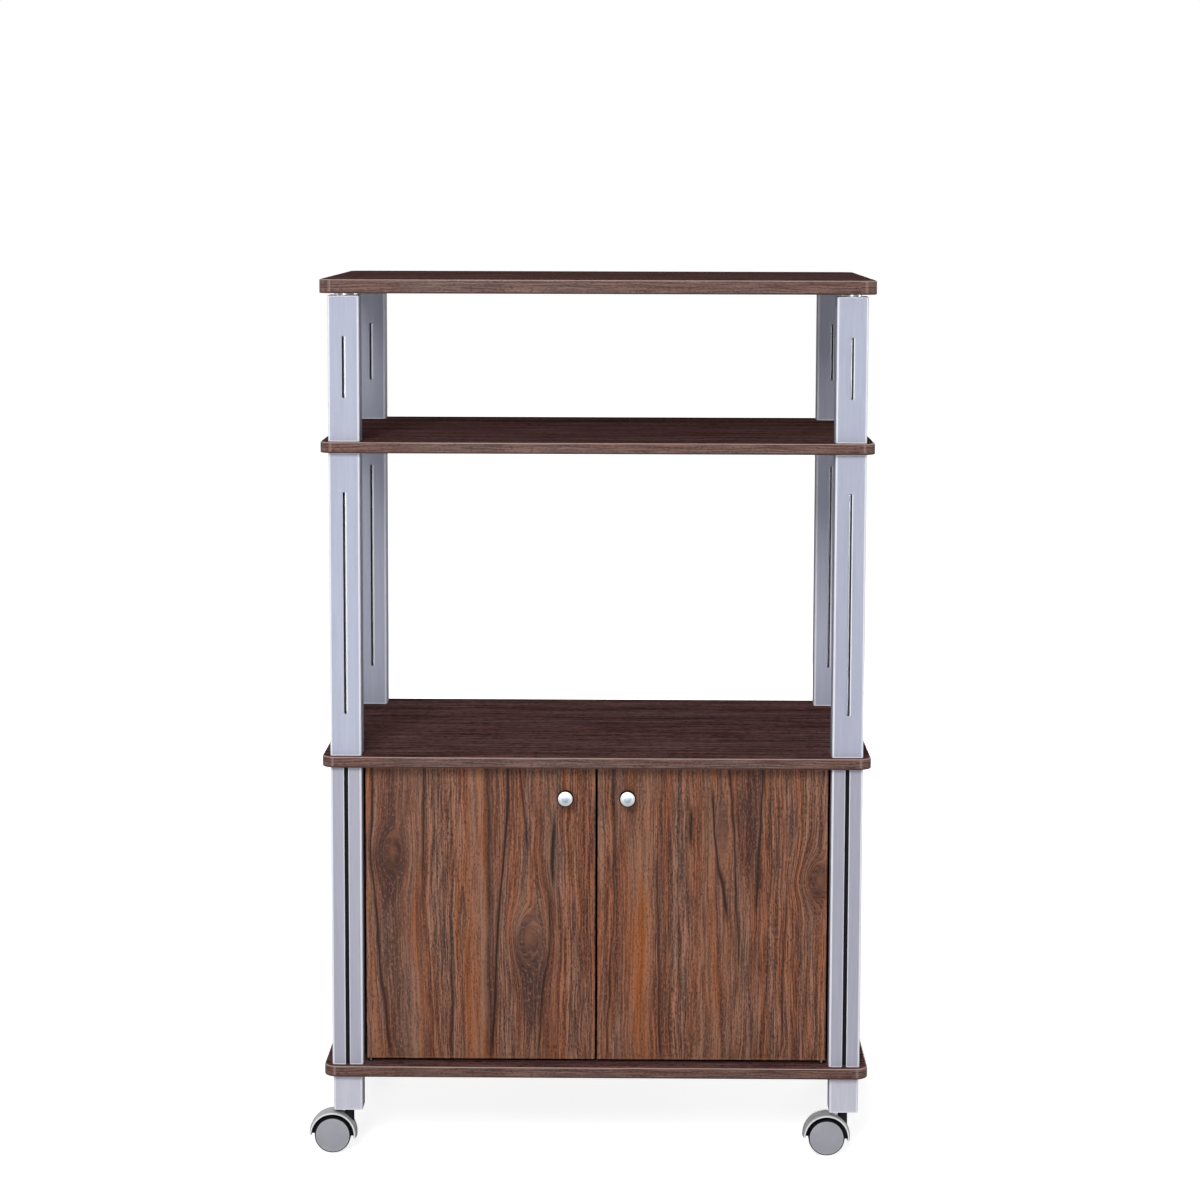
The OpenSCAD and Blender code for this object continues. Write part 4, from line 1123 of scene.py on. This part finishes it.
class CART_OT_small_parts(CartOperator, bpy.types.Operator):
    """Gives the panels, fasteners, plugs and catch their finishes; their shapes are the frame's own"""

    bl_idname = "cart.small_parts"
    bl_label = "Panels and small parts"

    def execute(self, context):
        """Assigns a material to each node that keeps its frame shape."""
        for finish, nodes in PLAIN_NODES.items():
            for node in nodes:
                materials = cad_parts[node].data.materials
                materials.clear()
                materials.append(material(finish))
        return {"FINISHED"}


# Each lamp's place, target, width, height and power. The tall narrow ones stand in line with the front posts:
# they light the cart's sides and leave its inside dark
LAMPS = {
    "key": ((-0.55, -3.3, 2.2), (-0.02, 0.0, 0.62), 1.2, 1.2, 78.0),
    "fill": ((-0.1, -3.6, 0.6), (-0.05, 0.0, 0.35), 1.4, 1.0, 22.0),
    "top": ((0.0, -0.6, 3.0), (0.0, 0.0, 0.0), 2.4, 1.6, 7.0),
    "left": ((-2.8, -0.165, 0.75), (0.0, -0.165, 0.5), 0.08, 1.2, 10.0),
    "right": ((2.8, -0.165, 0.75), (0.0, -0.165, 0.5), 0.08, 1.2, 14.0),
    "back": ((0.5, 3.4, 0.9), (0.0, 0.0, 0.5), 1.6, 1.2, 34.0),
}


class CART_OT_stage(CartOperator, bpy.types.Operator):
    """Sets up the camera, the soft lamps, the pale floor and the white background"""

    bl_idname = "cart.stage"
    bl_label = "Camera, lamps and floor"

    def execute(self, context):
        """Places the camera and each lamp, then the background and the floor."""
        scene, stage = context.scene, context.scene.cart_stage
        scene.view_settings.view_transform = "Standard"
        self.camera(scene, stage)
        for name, lamp in LAMPS.items():
            self.lamp(name, *lamp)
        self.backdrop(scene, stage.backdrop)
        self.floor(stage.backdrop)
        return {"FINISHED"}

    @staticmethod
    def camera(scene, stage):
        """The camera is level and looks along Y until it rolls, tilts and turns."""
        data = bpy.data.cameras.new("camera")
        data.lens, data.sensor_width, data.shift_y = stage.lens, 36.0, stage.shift
        data.clip_start, data.clip_end = 0.05, 60.0
        scene.camera = put("camera", data)
        turns = ((stage.yaw, "Z"), (math.pi / 2 - stage.pitch, "X"), (stage.roll, "Z"))
        yaw, pitch, roll = (Matrix.Rotation(turn, 4, axis) for turn, axis in turns)
        scene.camera.matrix_world = Matrix.Translation(stage.camera_place) @ yaw @ pitch @ roll

    @staticmethod
    def lamp(name, place, target, width, height, power):
        """A soft rectangular lamp at a place, turned to a target."""
        data = bpy.data.lights.new(name, "AREA")
        data.shape, data.size, data.size_y, data.energy = "RECTANGLE", width, height, power
        put(name, data).matrix_world = Matrix.Translation(place) @ (
            Vector(place) - Vector(target)).to_track_quat("Z", "Y").to_matrix().to_4x4()

    @staticmethod
    def backdrop(scene, colour):
        """The background is the backdrop's colour for rays from the camera and for mirror and see-through
        rays, so that gloss shows it, and a softer even light on the cart."""
        scene.world = bpy.data.worlds.new("studio")
        scene.world.use_nodes = True
        tree = scene.world.node_tree
        tree.nodes.clear()
        path = add(tree, "LightPath")
        mirrored = path["Is Glossy Ray"].maths("MAXIMUM", path["Is Transmission Ray"])
        light = add(tree, "Background", {"Color": (0.93, 0.96, 1.0, 1.0), "Strength": 0.10})
        seen = add(tree, "Background", {"Color": solid(colour), "Strength": 1.0})
        share = path["Is Camera Ray"].maths("MAXIMUM", mirrored)
        mix = add(tree, "MixShader", {0: share, 1: light[0], 2: seen[0]})
        add(tree, "OutputWorld", {"Surface": mix[0]})

    @staticmethod
    def floor(colour):
        """A pale matt floor that keeps the cart's shadow; seen directly it also glows up to the backdrop."""
        mesh = bpy.data.meshes.new("floor")
        square = np.array([(-1, -1, 0), (1, -1, 0), (1, 1, 0), (-1, 1, 0)], float) * 12.0
        mesh.from_pydata(square.tolist(), [], [[0, 1, 2, 3]])
        made, tree, shader = blank_material("floor_paper", Roughness=0.9, Specular_IOR_Level=0.1)
        place = object_place(tree)
        shader.feed({"Base Color": place.noise(3.0).mixed((0.74, 0.74, 0.75, 1.0), (0.76, 0.76, 0.76, 1.0))})
        away = add(tree, "VectorMath", {0: place}, operation="LENGTH")["Value"]
        glow = add(tree, "Emission", {"Color": solid(colour), "Strength": away.ranged(0.8, 2.4, 0.78, 1.0)})
        both = add(tree, "AddShader", {0: shader[0], 1: glow[0]})
        camera_ray = add(tree, "LightPath")["Is Camera Ray"]
        mix = add(tree, "MixShader", {0: camera_ray, 1: shader[0], 2: both[0]})
        Node(tree, tree.nodes["Material Output"]).feed({"Surface": mix[0]})
        mesh.materials.append(made)
        put("floor", mesh)


OPERATORS = (
    CART_OT_stage, CART_OT_boards, CART_OT_upper_posts, CART_OT_cabinet_posts, CART_OT_feet, CART_OT_doors,
    CART_OT_knobs, CART_OT_hoods, CART_OT_wheels, CART_OT_small_parts,
)


class CART_PT_sidebar(bpy.types.Panel):
    """Lists the cart's settings and operators"""

    bl_idname = "CART_PT_sidebar"
    bl_label = "Rolling Kitchen Cart"
    bl_space_type = "VIEW_3D"
    bl_region_type = "UI"
    bl_category = "Cart"

    def draw(self, context):
        """Draws the settings in three boxes and a button for each operator."""
        for settings in (context.scene.cart_shapes, context.scene.cart_colours, context.scene.cart_stage):
            box = self.layout.box()
            for name in settings.__annotations__:
                box.prop(settings, name)
        for operator in OPERATORS:
            self.layout.operator(operator.bl_idname)


CLASSES = (CartShapes, CartColours, CartStage, *OPERATORS, CART_PT_sidebar)


def register():
    """Registers the classes and hangs the settings on the scene."""
    for cls in CLASSES:
        bpy.utils.register_class(cls)
    bpy.types.Scene.cart_shapes = bpy.props.PointerProperty(type=CartShapes)
    bpy.types.Scene.cart_colours = bpy.props.PointerProperty(type=CartColours)
    bpy.types.Scene.cart_stage = bpy.props.PointerProperty(type=CartStage)


def unregister():
    """Takes the settings and the classes away again."""
    del bpy.types.Scene.cart_shapes, bpy.types.Scene.cart_colours, bpy.types.Scene.cart_stage
    for cls in reversed(CLASSES):
        bpy.utils.unregister_class(cls)


def main():
    """Registers the classes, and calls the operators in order."""
    register()
    for operator in OPERATORS:
        area, name = operator.bl_idname.split(".")
        getattr(getattr(bpy.ops, area), name)()


if __name__ == "__main__":
    main()
